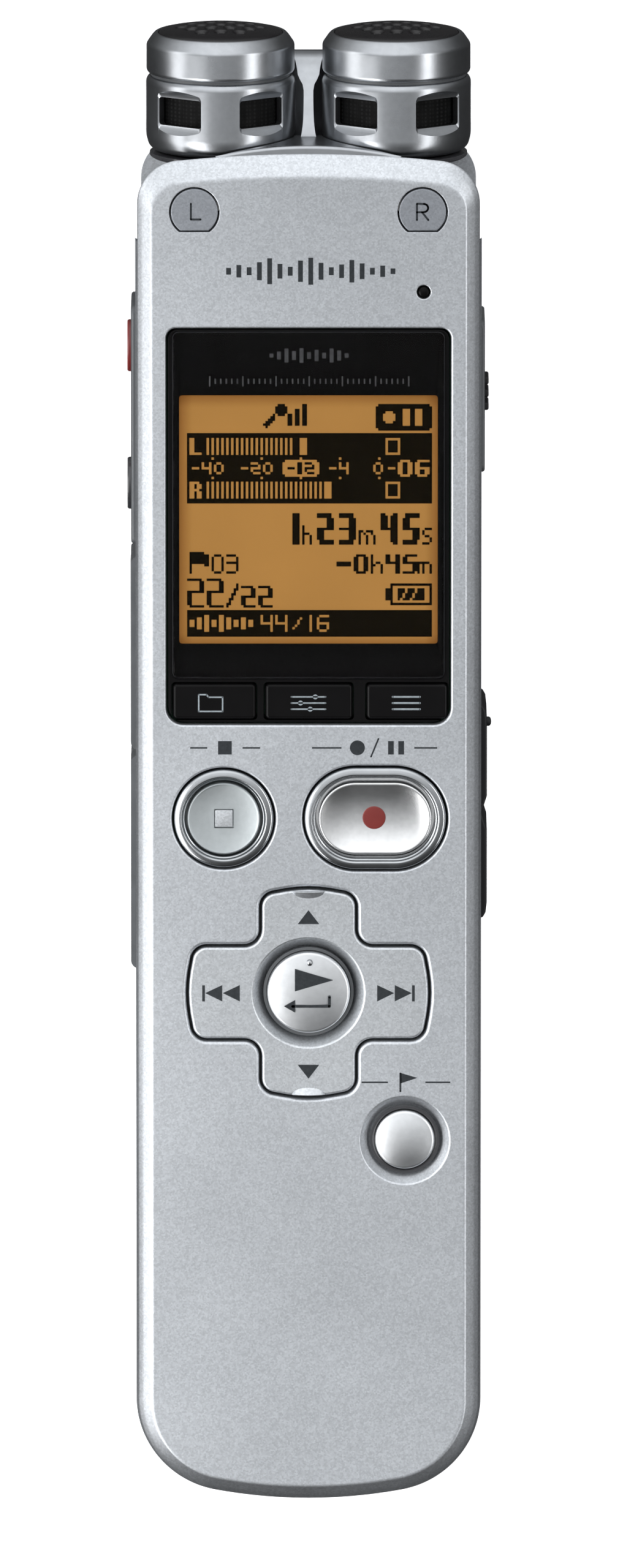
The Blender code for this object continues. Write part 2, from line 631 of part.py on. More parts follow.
def make_inside():
    board = rounded((-12.9, 12.9), (-55.0, 43.0), 3.0)
    add("main_board", prism(board, *BOARD_Z), BOARD)
    sheet = rounded((-11.5, 11.5), (-37.0, 3.5), 1.0)
    add("key_contact_sheet", prism(sheet, 13.4, 13.55), GREY)
    add("speaker", turned(((5.5, 1.6), (6.5, 2.2), (6.5, 4.2), (3.0, 5.2)), SPEAKER_AT, "Z", 24), STEEL)
    for number, place in enumerate(SCREWS_AT, 1):
        profile = ((SCREW_HEAD_R, 0.15), (SCREW_HEAD_R, 1.1), (0.8, 1.1), (0.8, BOSS_TOP_Z - 0.4))
        add(f"case_screw_{number}", turned(profile, place, "Z", SMALL_ROUND), STEEL)


def make_cells():
    """Two round cells side by side, head to tail, each between a flat contact and a spring."""
    low, high = CELL_Y
    for side, word in ((-1, "left"), (1, "right")):
        centre = (side * CELL_X, CELL_Z)
        profile = [(CELL_R, low), (CELL_R, high - 0.8), (1.9, high - 0.8), (1.9, high)]
        spring_at, flat_at = low - GAP, high + GAP
        if side > 0:
            profile = [(radius, low + high - y) for radius, y in profile]
            spring_at, flat_at = high + GAP, low - GAP
        add(f"battery_{word}", turned(profile, centre, steps=24), DARK)
        away = side
        add(f"battery_spring_{word}", spring_shape(centre, spring_at, away), STEEL)
        x = (centre[0] - 3.5, centre[0] + 3.5)
        y = sorted((flat_at, flat_at - away * 0.4))
        add(f"battery_contact_{word}", block(x, y, (3.4, 10.2)), STEEL)


def spring_shape(centre, start_y, away):
    """A conical wire coil that widens away from the cell."""
    steps, sides = 14, 6
    rings = []
    for i in range(SPRING_TURNS * steps + 1):
        angle = math.tau * i / steps
        share = i / (SPRING_TURNS * steps)
        radius = SPRING_SMALL_R + SPRING_WIDENS * share
        at_y = start_y + away * (SPRING_WIRE_R + SPRING_LENGTH * share)
        middle = Vector((centre[0] + radius * math.cos(angle), at_y, centre[1] + radius * math.sin(angle)))
        out = Vector((math.cos(angle), 0, math.sin(angle))) * SPRING_WIRE_R
        up = Vector((0, SPRING_WIRE_R, 0))
        wire = circle((0, 0), 1.0, sides)
        rings.append([tuple(middle + out * a + up * b) for a, b in wire])
    return loft(rings)


def main():
    clear_scene()
    make_front_cover()
    make_rear_cover()
    make_battery_door()
    make_display()
    make_front_buttons()
    make_cross_key()
    make_lamps()
    make_jacks()
    make_doors()
    make_hold_switch()
    make_rocker()
    for side, word in ((-1, "left"), (1, "right")):
        make_head(side, word)
    make_mic_bridge()
    make_inside()
    make_cells()


main()
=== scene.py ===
"""Looks for the field recorder: fine shapes, finishes, display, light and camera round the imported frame.

Lengths are millimetres until from_bmesh() turns them into metres. Lights and camera are set in metres."""

import json
import math

import bmesh
import bpy
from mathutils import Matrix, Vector


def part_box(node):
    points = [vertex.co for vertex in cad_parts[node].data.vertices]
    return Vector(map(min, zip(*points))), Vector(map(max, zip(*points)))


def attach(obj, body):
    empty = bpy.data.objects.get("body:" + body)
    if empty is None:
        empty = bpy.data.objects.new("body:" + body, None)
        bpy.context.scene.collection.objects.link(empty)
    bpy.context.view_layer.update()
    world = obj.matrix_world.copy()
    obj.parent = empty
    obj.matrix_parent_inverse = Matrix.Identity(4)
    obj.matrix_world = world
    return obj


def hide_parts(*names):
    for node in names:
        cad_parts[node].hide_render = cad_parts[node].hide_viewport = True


MM = 0.001
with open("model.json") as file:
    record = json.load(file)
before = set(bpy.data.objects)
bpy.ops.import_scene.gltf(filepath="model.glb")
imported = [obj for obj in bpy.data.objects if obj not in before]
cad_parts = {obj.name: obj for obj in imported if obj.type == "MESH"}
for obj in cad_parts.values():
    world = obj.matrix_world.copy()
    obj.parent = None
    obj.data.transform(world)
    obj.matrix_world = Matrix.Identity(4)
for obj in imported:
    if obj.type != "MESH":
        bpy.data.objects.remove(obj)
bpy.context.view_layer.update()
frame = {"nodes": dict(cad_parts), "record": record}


def span(node, axis):
    """A CAD node's lowest and highest value along an axis (0, 1 or 2)."""
    low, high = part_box(node)
    return low[axis] / MM, high[axis] / MM


def middle(node, first=0, second=1):
    return sum(span(node, first)) / 2, sum(span(node, second)) / 2


# Driving sizes, read from the frame
HALF_WIDTH = span("front_cover", 0)[1]
COVER_BOTTOM_Y = span("front_cover", 1)[0]
SPLIT_Z, FACE_Z = span("front_cover", 2)
REAR_TOP_Z = span("rear_cover", 2)[1]
PLATE_UNDER_Z = FACE_Z - 1.1
HEAD_X, HEAD_Z = middle("head_body_right", 0, 2)
PIVOT_Y = middle("pivot_pin_right", 0, 1)[1]
CROSS_AT = middle("control_key")
STOP_AT = middle("stop_button")
RECORD_AT = middle("record_button")
MARK_AT = middle("track_mark_button")
LAMP_AT = middle("operation_lamp")

# Shapes that the fine meshes share with the CAD
COVER_TOP_Y = 55.5
BOTTOM_ARC_R, BOTTOM_CORNER_R = 45.0, 8.5
TOP_ARC_R, TOP_CORNER_R = 110.0, 4.0
SWEEP_R = 7.75
OPENING_X = 12.5
OPENING_Y = (4.5, 39.9)
PEAK_LAMP_AT = (10.0, 50.25)
PEAK_LAMP_R, PEAK_LAMP_FLAT = 2.12, 1.7
STOP_HOLE_R = 4.55
RECORD_HOLE = (6.4, 4.72)
# The front cover's side wall
EDGE_WALL = 1.1
SIDES = ((-1, "left"), (1, "right"))

# Heights: a key's flange, which the cover holds down, and the screen's parts
FLANGE_Z, FLANGE_TOP_Z = 13.9, 14.5
SCREEN_FRAME_Z = (13.6, 15.55)
GLASS_Z = (15.12, 15.95)
LCD_Z = (13.6, 14.5)
MASK_Z = (14.95, 15.06)
# Printed marks: low enough to touch what they are on, and a hundredth or two above it
FACE_INK_Z = (FACE_Z - 0.01, FACE_Z + 0.012)
LAMP_INK_Z = (FACE_Z - 0.02, FACE_Z + 0.006)
KEY_INK_Z = (15.67, 15.695)
CROSS_INK_Z = (15.985, 16.012)
PLAY_INK_Z = (16.1, 16.262)
WINDOW_INK_Z = (15.07, 15.09)
DOT_Z = (14.505, 14.53)
ROUND = 96


# ---------------------------------------------------------------- outlines


def arc(centre, radius, start, end, steps):
    turns = [math.radians(start + (end - start) * i / steps) for i in range(steps + 1)]
    return [(centre[0] + radius * math.cos(t), centre[1] + radius * math.sin(t)) for t in turns]


def circle(centre, radius, steps=ROUND):
    return arc(centre, radius, 0, 360, steps)[:-1]


def inset(outline, distance):
    """An anticlockwise outline drawn in by a distance, or grown where the distance is negative."""
    moved = []
    count = len(outline)
    for i in range(count):
        here = Vector(outline[i])
        before = (here - Vector(outline[i - 1])).normalized()
        after = (Vector(outline[(i + 1) % count]) - here).normalized()
        normal = Vector((-before.y - after.y, before.x + after.x))
        share = max(normal.length_squared, 0.2)
        moved.append(tuple(here + normal * (2 * distance / share)))
    return moved


def stadium(centre, half_x, half_y, steps=40):
    straight = half_x - half_y
    right = arc((centre[0] + straight, centre[1]), half_y, -90, 90, steps)
    left = arc((centre[0] - straight, centre[1]), half_y, 90, 270, steps)
    return right + left


def rounded(x, y, radius, steps=8):
    """A rectangle's outline. The radius is one number, or one for the lower and one for the upper corners."""
    low_r, high_r = (radius, radius) if isinstance(radius, float) else radius
    corners = ((x[1], y[0], -90, low_r), (x[1], y[1], 0, high_r))
    corners += ((x[0], y[1], 90, high_r), (x[0], y[0], 180, low_r))
    outline = []
    for corner_x, corner_y, start, r in corners:
        centre_x = corner_x - math.copysign(r, corner_x - sum(x) / 2)
        centre_y = corner_y - math.copysign(r, corner_y - sum(y) / 2)
        outline += arc((centre_x, centre_y), r, start, start + 90, steps)
    return outline


def cover_outline(drawn_in=0.0, top_share=1.0):
    """The recorder's outline: a wide arc at each end, straight sides, round corners.

    The microphone end can be drawn in by a larger share than the rest."""
    side = HALF_WIDTH - drawn_in
    right = []
    ends = (
        (COVER_BOTTOM_Y + drawn_in, BOTTOM_ARC_R - drawn_in, BOTTOM_CORNER_R - drawn_in, 1, 36),
        (COVER_TOP_Y - drawn_in * top_share, TOP_ARC_R - drawn_in, TOP_CORNER_R - drawn_in, -1, 20),
    )
    for end_y, wide, corner, inward, steps in ends:
        corner_x = side - corner
        reach = math.sqrt((wide - corner) ** 2 - corner_x**2)
        corner_at = (corner_x, end_y + inward * (wide - reach))
        lean = math.degrees(math.asin(corner_x / (wide - corner)))
        stretch = arc((0, end_y + inward * wide), wide, -inward * 90, -inward * (90 - lean), 12)
        stretch += arc(corner_at, corner, -inward * (90 - lean), 0, steps)[1:]
        right += stretch if inward == 1 else stretch[::-1]
    left = [(-x, y) for x, y in reversed(right[1:-1])]
    return right + left


def cross_outline(grow=0.0):
    """The four-way key's outline: four arms with bowed ends, round inner and outer corners."""
    half_x, half_y, arm = 10.55, 9.3, 4.1
    bow = 0.35
    corner, fillet = 1.25, 1.6
    quarter = arc((half_x - corner - bow, arm - corner), corner, 8, 90, 8)
    quarter += arc((arm + fillet, arm + fillet), fillet, 270, 180, 8)
    quarter += arc((arm - corner, half_y - corner - bow), corner, 0, 82, 8)
    ends = [(half_x - bow * (t / 3) ** 2, (arm - corner) * t / 3) for t in range(-2, 3)]
    tops = [((arm - corner) * t / 3, half_y - bow * (t / 3) ** 2) for t in range(2, -3, -1)]
    outline = ends + quarter + tops
    outline += [(-x, y) for x, y in reversed(quarter)]
    outline += [(-x, y) for x, y in reversed(ends)]
    outline += [(-x, -y) for x, y in quarter]
    outline += [(-x, -y) for x, y in tops]
    outline += [(x, -y) for x, y in reversed(quarter)]
    return inset([(CROSS_AT[0] + x, CROSS_AT[1] + y) for x, y in outline], -grow)


def lamp_outline(side, radius):
    start = math.degrees(math.acos(PEAK_LAMP_FLAT / PEAK_LAMP_R)) - 90
    return arc((side * PEAK_LAMP_AT[0], PEAK_LAMP_AT[1]), radius, start, 180 - start, 60)


# ---------------------------------------------------------------- solids: lists of (points, faces)


def loft(rings, closed=True):
    count = len(rings[0])
    points = [point for ring in rings for point in ring]
    faces = []
    if closed:
        faces = [list(range(count)), list(range(len(points) - count, len(points)))]
    for start in range(0, len(points) - count, count):
        for i in range(count):
            after = (i + 1) % count
            faces.append([start + i, start + after, start + count + after, start + count + i])
    return [(points, faces)]


def along(outline, height, axis="Z"):
    """Lays a flat outline square to an axis: (y, z) for X, (z, x) for Y, (x, y) for Z."""
    order = {"X": (2, 0, 1), "Y": (1, 2, 0), "Z": (0, 1, 2)}[axis]
    return [tuple((*point, height)[i] for i in order) for point in outline]


def levels(outline, steps):
    """Rings up or down a wall: each step draws the outline in and gives its height."""
    return [along(inset(outline, drawn), z) for drawn, z in steps]


def prism(outline, low, high, axis="Z"):
    return loft([along(outline, low, axis), along(outline, high, axis)])


def block(x, y, z):
    return prism(((x[0], y[0]), (x[1], y[0]), (x[1], y[1]), (x[0], y[1])), *z)


def pad(outline, low, high, under, over, axis="Z", steps=5):
    """A prism whose lower and upper rims are rounded by two radii."""
    turns = [math.radians(90 * i / steps) for i in range(steps + 1)]
    rings = []
    for t in turns if under else turns[-1:]:
        edge = inset(outline, under * (1 - math.sin(t))) if under else outline
        rings.append(along(edge, low + under * (1 - math.cos(t)), axis))
    for t in turns if over else turns[:1]:
        edge = inset(outline, over * (1 - math.cos(t))) if over else outline
        rings.append(along(edge, high - over * (1 - math.sin(t)), axis))
    return loft(rings)


def turned(profile, centre, axis="Y", steps=ROUND):
    """A profile of (radius, height) turned about an axis whose place is (y, z), (x, z) or (x, y)."""
    order = {"X": (2, 0, 1), "Y": (0, 2, 1), "Z": (0, 1, 2)}[axis]
    rings = []
    for radius, height in profile:
        ring = circle(centre, max(radius, 0.01), steps)
        rings.append([tuple((*point, height)[i] for i in order) for point in ring])
    return loft(rings)


def ring_of(rings):
    """Rings joined one to the next and the last back to the first, such as a washer or a tube."""
    points, faces = loft(list(rings) + [rings[0]], closed=False)[0]
    whole = len(points) - len(rings[0])
    return [(points[:whole], [[i % whole for i in face] for face in faces])]


def tube(profile, centre, axis="Y", steps=ROUND):
    rings = [turned([p, p], centre, axis, steps)[0][0][:steps] for p in profile]
    return ring_of(rings)


def eased(profile, radius, steps=4):
    """A profile with each inner corner rounded by a small arc, drawn as a quadratic curve."""
    smooth = [profile[0]]
    for before, corner, after in zip(profile, profile[1:], profile[2:]):
        here = Vector(corner)
        one = Vector(before) - here
        two = Vector(after) - here
        reach = min(radius, one.length * 0.45, two.length * 0.45)
        start = here + one.normalized() * reach
        end = here + two.normalized() * reach
        for i in range(steps + 1):
            t = i / steps
            smooth.append(tuple(start * (1 - t) ** 2 + here * (2 * t * (1 - t)) + end * t**2))
    smooth.append(profile[-1])
    return smooth


def add_shape(work, shape):
    for points, faces in shape:
        corners = [work.verts.new(point) for point in points]
        for face in faces:
            work.faces.new([corners[i] for i in face])


def build(name, shape, sharp=35.0):
    """An object from (points, faces) lists, in millimetres."""
    work = bmesh.new()
    add_shape(work, shape)
    return from_bmesh(name, work, sharp)


def from_bmesh(name, work, sharp=35.0):
    bmesh.ops.remove_doubles(work, verts=work.verts, dist=1e-4)
    bmesh.ops.recalc_face_normals(work, faces=work.faces)
    bmesh.ops.scale(work, verts=work.verts, vec=(MM, MM, MM))
    mesh = bpy.data.meshes.new(name)
    work.to_mesh(mesh)
    work.free()
    made = bpy.data.objects.new(name, mesh)
    bpy.context.scene.collection.objects.link(made)
    return set_sharp(made, sharp)


def modify(target, cutter, operation="DIFFERENCE"):
    """Applies a Boolean with a shape and removes the helper."""
    helper = build("helper", cutter)
    modifier = target.modifiers.new("shape", "BOOLEAN")
    modifier.operation = operation
    modifier.object = helper
    graph = bpy.context.evaluated_depsgraph_get()
    mesh = bpy.data.meshes.new_from_object(target.evaluated_get(graph))
    target.modifiers.clear()
    target.data = mesh
    bpy.data.objects.remove(helper)


def soften(target, width, segments=3):
    """Rounds every sharp edge of a shape by a small width in millimetres."""
    bevel = target.modifiers.new("soften", "BEVEL")
    bevel.width = width * MM
    bevel.segments = segments
    bevel.limit_method = "ANGLE"
    bevel.angle_limit = math.radians(32)
    return even_normals(target)


def even_normals(target):
    """Keeps flat faces flat in shading where they meet rounded rims."""
    modifier = target.modifiers.new("even", "WEIGHTED_NORMAL")
    modifier.keep_sharp = True
    modifier.weight = 80
    return target


def set_sharp(target, angle=35.0):
    target.data.shade_smooth()
    target.data.set_sharp_from_angle(angle=math.radians(angle))
    return target


def place(made, material, slot, body, *nodes):
    """Gives a piece its finish and the body that it rides on, and hides the CAD nodes that it stands for."""
    made.data.materials.clear()
    made.data.materials.append(material)
    for face in made.data.polygons:
        face.material_index = 0
    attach(made, body)
    if nodes:
        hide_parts(*nodes)


# ---------------------------------------------------------------- finishes


def shade(base, share):
    """A colour made darker or lighter by a share."""
    return tuple(min(c * share, 1.0) for c in base)


# Every finish by its name. A CAD node's slot has the name of its finish
FINISHES = {}


class Finish:
    """A small helper that wires one Principled material."""

    def __init__(self, name):
        self.material = bpy.data.materials.new(name)
        FINISHES[name] = self.material
        self.material.use_nodes = True
        self.tree = self.material.node_tree
        self.shader = self.tree.nodes["Principled BSDF"]
        self.where = self.tree.nodes.new("ShaderNodeTexCoord").outputs["Object"]

    def set(self, **values):
        for key, value in values.items():
            self.shader.inputs[key.replace("_", " ")].default_value = value
        return self.material

    def feed(self, socket, output):
        self.tree.links.new(output, self.shader.inputs[socket])

    def node(self, kind, result, **inputs):
        """Adds a node whose inputs are numbers or outputs of other nodes, and gives one of its outputs."""
        made = self.tree.nodes.new(f"ShaderNode{kind}")
        for key, value in inputs.items():
            if isinstance(value, float):
                made.inputs[key].default_value = value
            else:
                self.tree.links.new(value, made.inputs[key])
        return made.outputs[result]

    def noise(self, scale, detail=2.0, uneven=0.5):
        """Noise whose scale is in features per metre."""
        return self.node("TexNoise", "Fac", Vector=self.where, Scale=scale, Detail=detail, Roughness=uneven)

    def cells(self, scale):
        """A random number for each small cell, such as a metal flake."""
        colour = self.node("TexVoronoi", "Color", Vector=self.where, Scale=scale)
        return self.node("SeparateColor", "Red", Color=colour)

    def calculate(self, operation, source, number=0.0):
        node = self.tree.nodes.new("ShaderNodeMath")
        node.operation = operation
        node.inputs[1].default_value = number
        self.tree.links.new(source, node.inputs[0])
        return node.outputs[0]

    def ramp(self, source, low, high, start=0.3, end=0.7):
        """Maps a 0 to 1 pattern onto a colour or grey range."""
        node = self.tree.nodes.new("ShaderNodeValToRGB")
        for element, position, colour in zip(node.color_ramp.elements, (start, end), (low, high)):
            element.position = position
            element.color = (*colour, 1.0) if isinstance(colour, tuple) else (colour, colour, colour, 1.0)
        self.tree.links.new(source, node.inputs["Fac"])
        return node.outputs["Color"]

    def multiply(self, first, second):
        node = self.tree.nodes.new("ShaderNodeMix")
        node.data_type = "RGBA"
        node.blend_type = "MULTIPLY"
        node.inputs["Factor"].default_value = 1.0
        self.tree.links.new(first, node.inputs["A"])
        self.tree.links.new(second, node.inputs["B"])
        return node.outputs["Result"]

    def tint(self, base, low, high, scale, detail=2.0):
        """Mottles the surface between two shades of a colour."""
        self.feed("Base Color", self.ramp(self.noise(scale, detail), shade(base, low), shade(base, high)))

    def rough(self, low, high, scale, detail=2.0, uneven=0.5):
        """A roughness that wanders between two values."""
        self.feed("Roughness", self.ramp(self.noise(scale, detail, uneven), low, high))

    def bump(self, height, strength, distance_mm):
        normal = self.node("Bump", "Normal", Height=height, Strength=strength, Distance=distance_mm * MM)
        self.feed("Normal", normal)


def flake_paint(name, base, rough, metallic, grain=0.12):
    """Silver paint: small flakes of uneven brightness in a satin coat, with faint handling marks."""
    f = Finish(name)
    flakes = f.ramp(f.cells(7000.0), shade(base, 1 - grain), shade(base, 1 + grain), 0.0, 1.0)
    mist = f.ramp(f.noise(2600.0, 3.0), 0.93, 1.0)
    f.feed("Base Color", f.multiply(flakes, mist))
    f.rough(rough - 0.03, rough + 0.05, 45.0, 4.0)
    f.bump(f.noise(5200.0), 0.1, 0.02)
    return f.set(Metallic=metallic)


def blasted_metal(name, base, rough, grain, size=6500.0):
    """Fine-blasted metal: a grain under a tenth of a millimetre and soft broad unevenness."""
    f = Finish(name)
    f.tint(base, 0.92, 1.0, 1800.0, 4.0)
    f.rough(rough - 0.03, rough + 0.05, 160.0, 4.0)
    f.bump(f.noise(size), grain, 0.012)
    return f.set(Metallic=1.0)


def plated(name, base, rough):
    """Bright plating with a faint polishing haze."""
    f = Finish(name)
    f.tint(base, 0.93, 1.0, 900.0, 3.0)
    f.rough(rough - 0.03, rough + 0.06, 300.0, 5.0, 0.6)
    f.bump(f.noise(2400.0, 3.0), 0.04, 0.01)
    return f.set(Metallic=1.0)


def moulded(name, base, rough, grain=0.15, coat=0.0, size=4200.0, metallic=0.0, gloss=0.5):
    """Moulded plastic: a fine spark-eroded grain and slightly uneven gloss."""
    f = Finish(name)
    f.tint(base, 0.88, 1.1, 420.0, 3.0)
    f.rough(rough - 0.04, rough + 0.06, 110.0, 4.0)
    f.bump(f.noise(size), grain, 0.015)
    return f.set(Metallic=metallic, Coat_Weight=coat, Coat_Roughness=0.08, Specular_IOR_Level=gloss)


def ink(name, base, gloss=0.3):
    """Screen-printed ink, with the faint mottling of a thin layer."""
    f = Finish(name)
    f.tint(base, 0.85, 1.15, 3000.0)
    f.rough(0.4, 0.55, 800.0)
    return f.set(Specular_IOR_Level=gloss)


def woven_wire(name):
    """Black acoustic mesh: crossed sets of fine threads."""
    f = Finish(name)
    heights = []
    for direction in ("X", "Y", "Z"):
        wave = f.node("TexWave", "Fac", Vector=f.where, Scale=900.0)
        wave.node.bands_direction = direction
        heights.append(wave)
    cross = f.multiply(f.multiply(heights[0], heights[1]), heights[2])
    f.feed("Base Color", f.ramp(cross, 0.001, 0.008, 0.0, 0.6))
    f.bump(cross, 0.6, 0.05)
    f.rough(0.5, 0.7, 900.0)
    return f.set(Specular_IOR_Level=0.1)


def backlit(name, base, strength):
    """The display's amber backlight: even, with a slightly darker rim and faint cloudiness."""
    f = Finish(name)
    glow = f.ramp(f.noise(90.0), shade(base, 0.95), base)
    for axis, centre, half in (("X", 0.0, 11.35), ("Y", 22.5, 11.2)):
        away = f.calculate("SUBTRACT", f.node("SeparateXYZ", axis, Vector=f.where), centre * MM)
        share = f.calculate("DIVIDE", f.calculate("ABSOLUTE", away), half * MM)
        glow = f.multiply(glow, f.ramp(share, 1.0, (0.62, 0.52, 0.45), 0.9, 1.0))
    f.feed("Emission Color", glow)
    f.tint(base, 0.1, 0.14, 90.0)
    f.rough(0.3, 0.4, 500.0)
    return f.set(Emission_Strength=strength, Specular_IOR_Level=0.0)


def clear_window(name):
    f = Finish(name)
    f.tint((1.0, 1.0, 1.0), 0.93, 0.97, 60.0)
    f.rough(0.005, 0.03, 400.0, 3.0)
    return f.set(Transmission_Weight=1.0, IOR=1.12)


SILVER = flake_paint("silver_paint", (0.55, 0.572, 0.6), rough=0.41, metallic=0.94)
SILVER_KEY = flake_paint("silver_key", (0.57, 0.592, 0.615), rough=0.4, metallic=0.94)
SATIN = blasted_metal("satin_metal", (0.41, 0.425, 0.445), rough=0.29, grain=0.15)
BLASTED = blasted_metal("blasted_key", (0.4, 0.428, 0.438), rough=0.5, grain=0.5, size=4200.0)
KEY_METAL = blasted_metal("key_metal", (0.68, 0.695, 0.71), rough=0.34, grain=0.25)
BRIGHT = plated("bright_trim", (0.42, 0.435, 0.45), rough=0.17)
POLISHED = blasted_metal("record_metal", (0.84, 0.845, 0.85), rough=0.2, grain=0.12, size=3800.0)
BLACK_GLOSS = moulded("black_gloss", (0.0035, 0.0033, 0.0035), 0.2, grain=0.02, gloss=0.1)
MASK_INK = moulded("mask_ink", (0.0022, 0.002, 0.0022), 0.6, grain=0.0, gloss=0.02)
BLACK_MATTE = moulded("black_matte", (0.01, 0.01, 0.011), 0.5, gloss=0.25)
DARK_GREY = moulded("dark_grey", (0.085, 0.09, 0.095), 0.42, metallic=0.3)
DARK_GLOSS = moulded("dark_gloss", (0.03, 0.03, 0.033), 0.18, grain=0.03, coat=0.5)
LAMP_LENS = flake_paint("lamp_lens", (0.27, 0.285, 0.31), rough=0.42, metallic=0.6, grain=0.1)
RED_RING = moulded("red_ring", (0.17, 0.014, 0.013), 0.3, grain=0.04, coat=0.3)
RED_DOT = moulded("red_dot", (0.14, 0.015, 0.012), 0.35, grain=0.1)
STEEL = plated("steel", (0.5, 0.5, 0.49), rough=0.25)
GRILLE = moulded("grille_black", (0.008, 0.0072, 0.008), 0.24, grain=0.08, size=3000.0, gloss=0.42)
MESH = woven_wire("acoustic_mesh")
INK = ink("label_ink", (0.025, 0.028, 0.031), 0.1)
KEY_INK = ink("key_legend_ink", (0.22, 0.25, 0.27))
DIM_INK = ink("window_ink", (0.06, 0.06, 0.063), 0.0)
AMBER = backlit("lcd_amber", (0.4, 0.2, 0.053), 0.98)
DOT_INK = ink("lcd_dots", (0.005, 0.0032, 0.001), 0.0)
CLEAR = clear_window("window_clear")
# Worn by CAD nodes alone
moulded("board_green", (0.015, 0.09, 0.045), 0.45, grain=0.2)
moulded("cell_sleeve", (0.05, 0.05, 0.055), 0.25, grain=0.03, coat=0.4)


# ---------------------------------------------------------------- front cover


def lip(outline, radius):
    """Rings down a hole: a rounded lip that grows out of the face, then a straight wall."""
    turns = [math.radians(18 * i) for i in range(6)]
    steps = [(-radius * (1 - math.sin(t)), FACE_Z - radius * (1 - math.cos(t))) for t in turns]
    return levels(outline, steps) + [along(outline, PLATE_UNDER_Z)]


def sheet_with_holes(work, outer, holes):
    """Fills the flat area between one outer loop of points and the loops of its holes."""
    edges = []
    for loop in [outer, *holes]:
        corners = [work.verts.new(point) for point in loop]
        for i in range(len(corners)):
            edges.append(work.edges.new((corners[i - 1], corners[i])))
    bmesh.ops.triangle_fill(work, use_beauty=True, use_dissolve=False, edges=edges)


def head_room(low, high):
    """Clear space round each head's pivot, wide enough for a head that is swung right out."""
    swung = math.radians(30)
    line = Vector((math.cos(swung), math.sin(swung)))
    across = Vector((math.sin(swung), -math.cos(swung)))
    clear = HEAD_R + 0.3
    leave = math.degrees(swung - math.atan2(clear, math.sqrt(SWEEP_R**2 - clear**2)))
    outline = arc((0, 0), SWEEP_R, -180, leave, 48) + [tuple(line * 14 + across * clear)]
    outline += [(outline[-1][0], 10.0), (-SWEEP_R, 10.0)]
    return [prism([(side * (HEAD_X + x), PIVOT_Y + y) for x, y in outline], low, high) for side in (-1, 1)]


def flatten_face(cover):
    """Points every normal on the flat face straight up, so that its thin triangles don't show."""
    mesh = cover.data
    normals = [corner.vector.copy() for corner in mesh.corner_normals]
    flat = set()
    for face in mesh.polygons:
        if face.normal.z > 0.9999 and face.center.z > (FACE_Z - 0.001) * MM:
            flat |= set(face.vertices)
    for corner in mesh.loops:
        if corner.vertex_index in flat and normals[corner.index].z > 0.7:
            normals[corner.index] = Vector((0, 0, 1))
    mesh.normals_split_custom_set(normals)


# How far the cover's edge is drawn in, and the drop below the face
EDGE = eased(((0.0, 2.6), (0.0, 1.6), (0.2, 1.05), (0.6, 0.65), (1.36, 0.03), (1.6, 0.0)), 0.12)


def make_front_cover():
    work = bmesh.new()
    outer = [along(cover_outline(), SPLIT_Z)]
    outer += [along(cover_outline(drawn, 1.5), FACE_Z - drop) for drawn, drop in EDGE]
    inner = [along(cover_outline(EDGE_WALL), z) for z in (SPLIT_Z, PLATE_UNDER_Z)]
    holes = [
        lip(rounded((-OPENING_X, OPENING_X), OPENING_Y, (1.5, 0.9)), 0.22),
        lip(circle(STOP_AT, STOP_HOLE_R), 0.22),
        lip(stadium(RECORD_AT, *RECORD_HOLE), 0.22),
        lip(cross_outline(0.24), 0.32),
        lip(circle(LAMP_AT, 0.6, 48), 0.12),
    ]
    dish = ((-0.12, FACE_Z), (0.0, 15.95), (0.08, 15.86), (0.72, 15.0), (0.88, 14.94), (0.9, PLATE_UNDER_Z))
    holes.append(levels(circle(MARK_AT, 3.95), dish))
    seat = ((-0.1, FACE_Z), (-0.03, 15.97), (0.0, 15.9), (0.02, PLATE_UNDER_Z))
    holes += [levels(lamp_outline(side, 2.2), seat) for side in (-1, 1)]
    for rings in (outer, [outer[0], *inner], *holes):
        add_shape(work, loft(rings, closed=False))
    sheet_with_holes(work, outer[-1], [rings[0] for rings in holes])
    sheet_with_holes(work, inner[-1], [rings[-1] for rings in holes])
    cover = from_bmesh("front_shell", work)
    for part in head_room(SPLIT_Z - 1, PLATE_UNDER_Z - 0.02):
        modify(cover, part)
    flatten_face(set_sharp(cover, 40.0))
    place(cover, SILVER, "silver_paint", "recorder", "front_cover")


# ---------------------------------------------------------------- display


# The three keys under the window and the wells that they sit in, as spans along X
KEY_SPANS = (("folder_button", (-11.95, -4.62)), ("mode_button", (-3.8, 3.88)), ("menu_button", (5.1, 12.22)))
KEY_WELLS = ((-12.05, -4.5), (-3.95, 4.0), (4.98, 12.3))


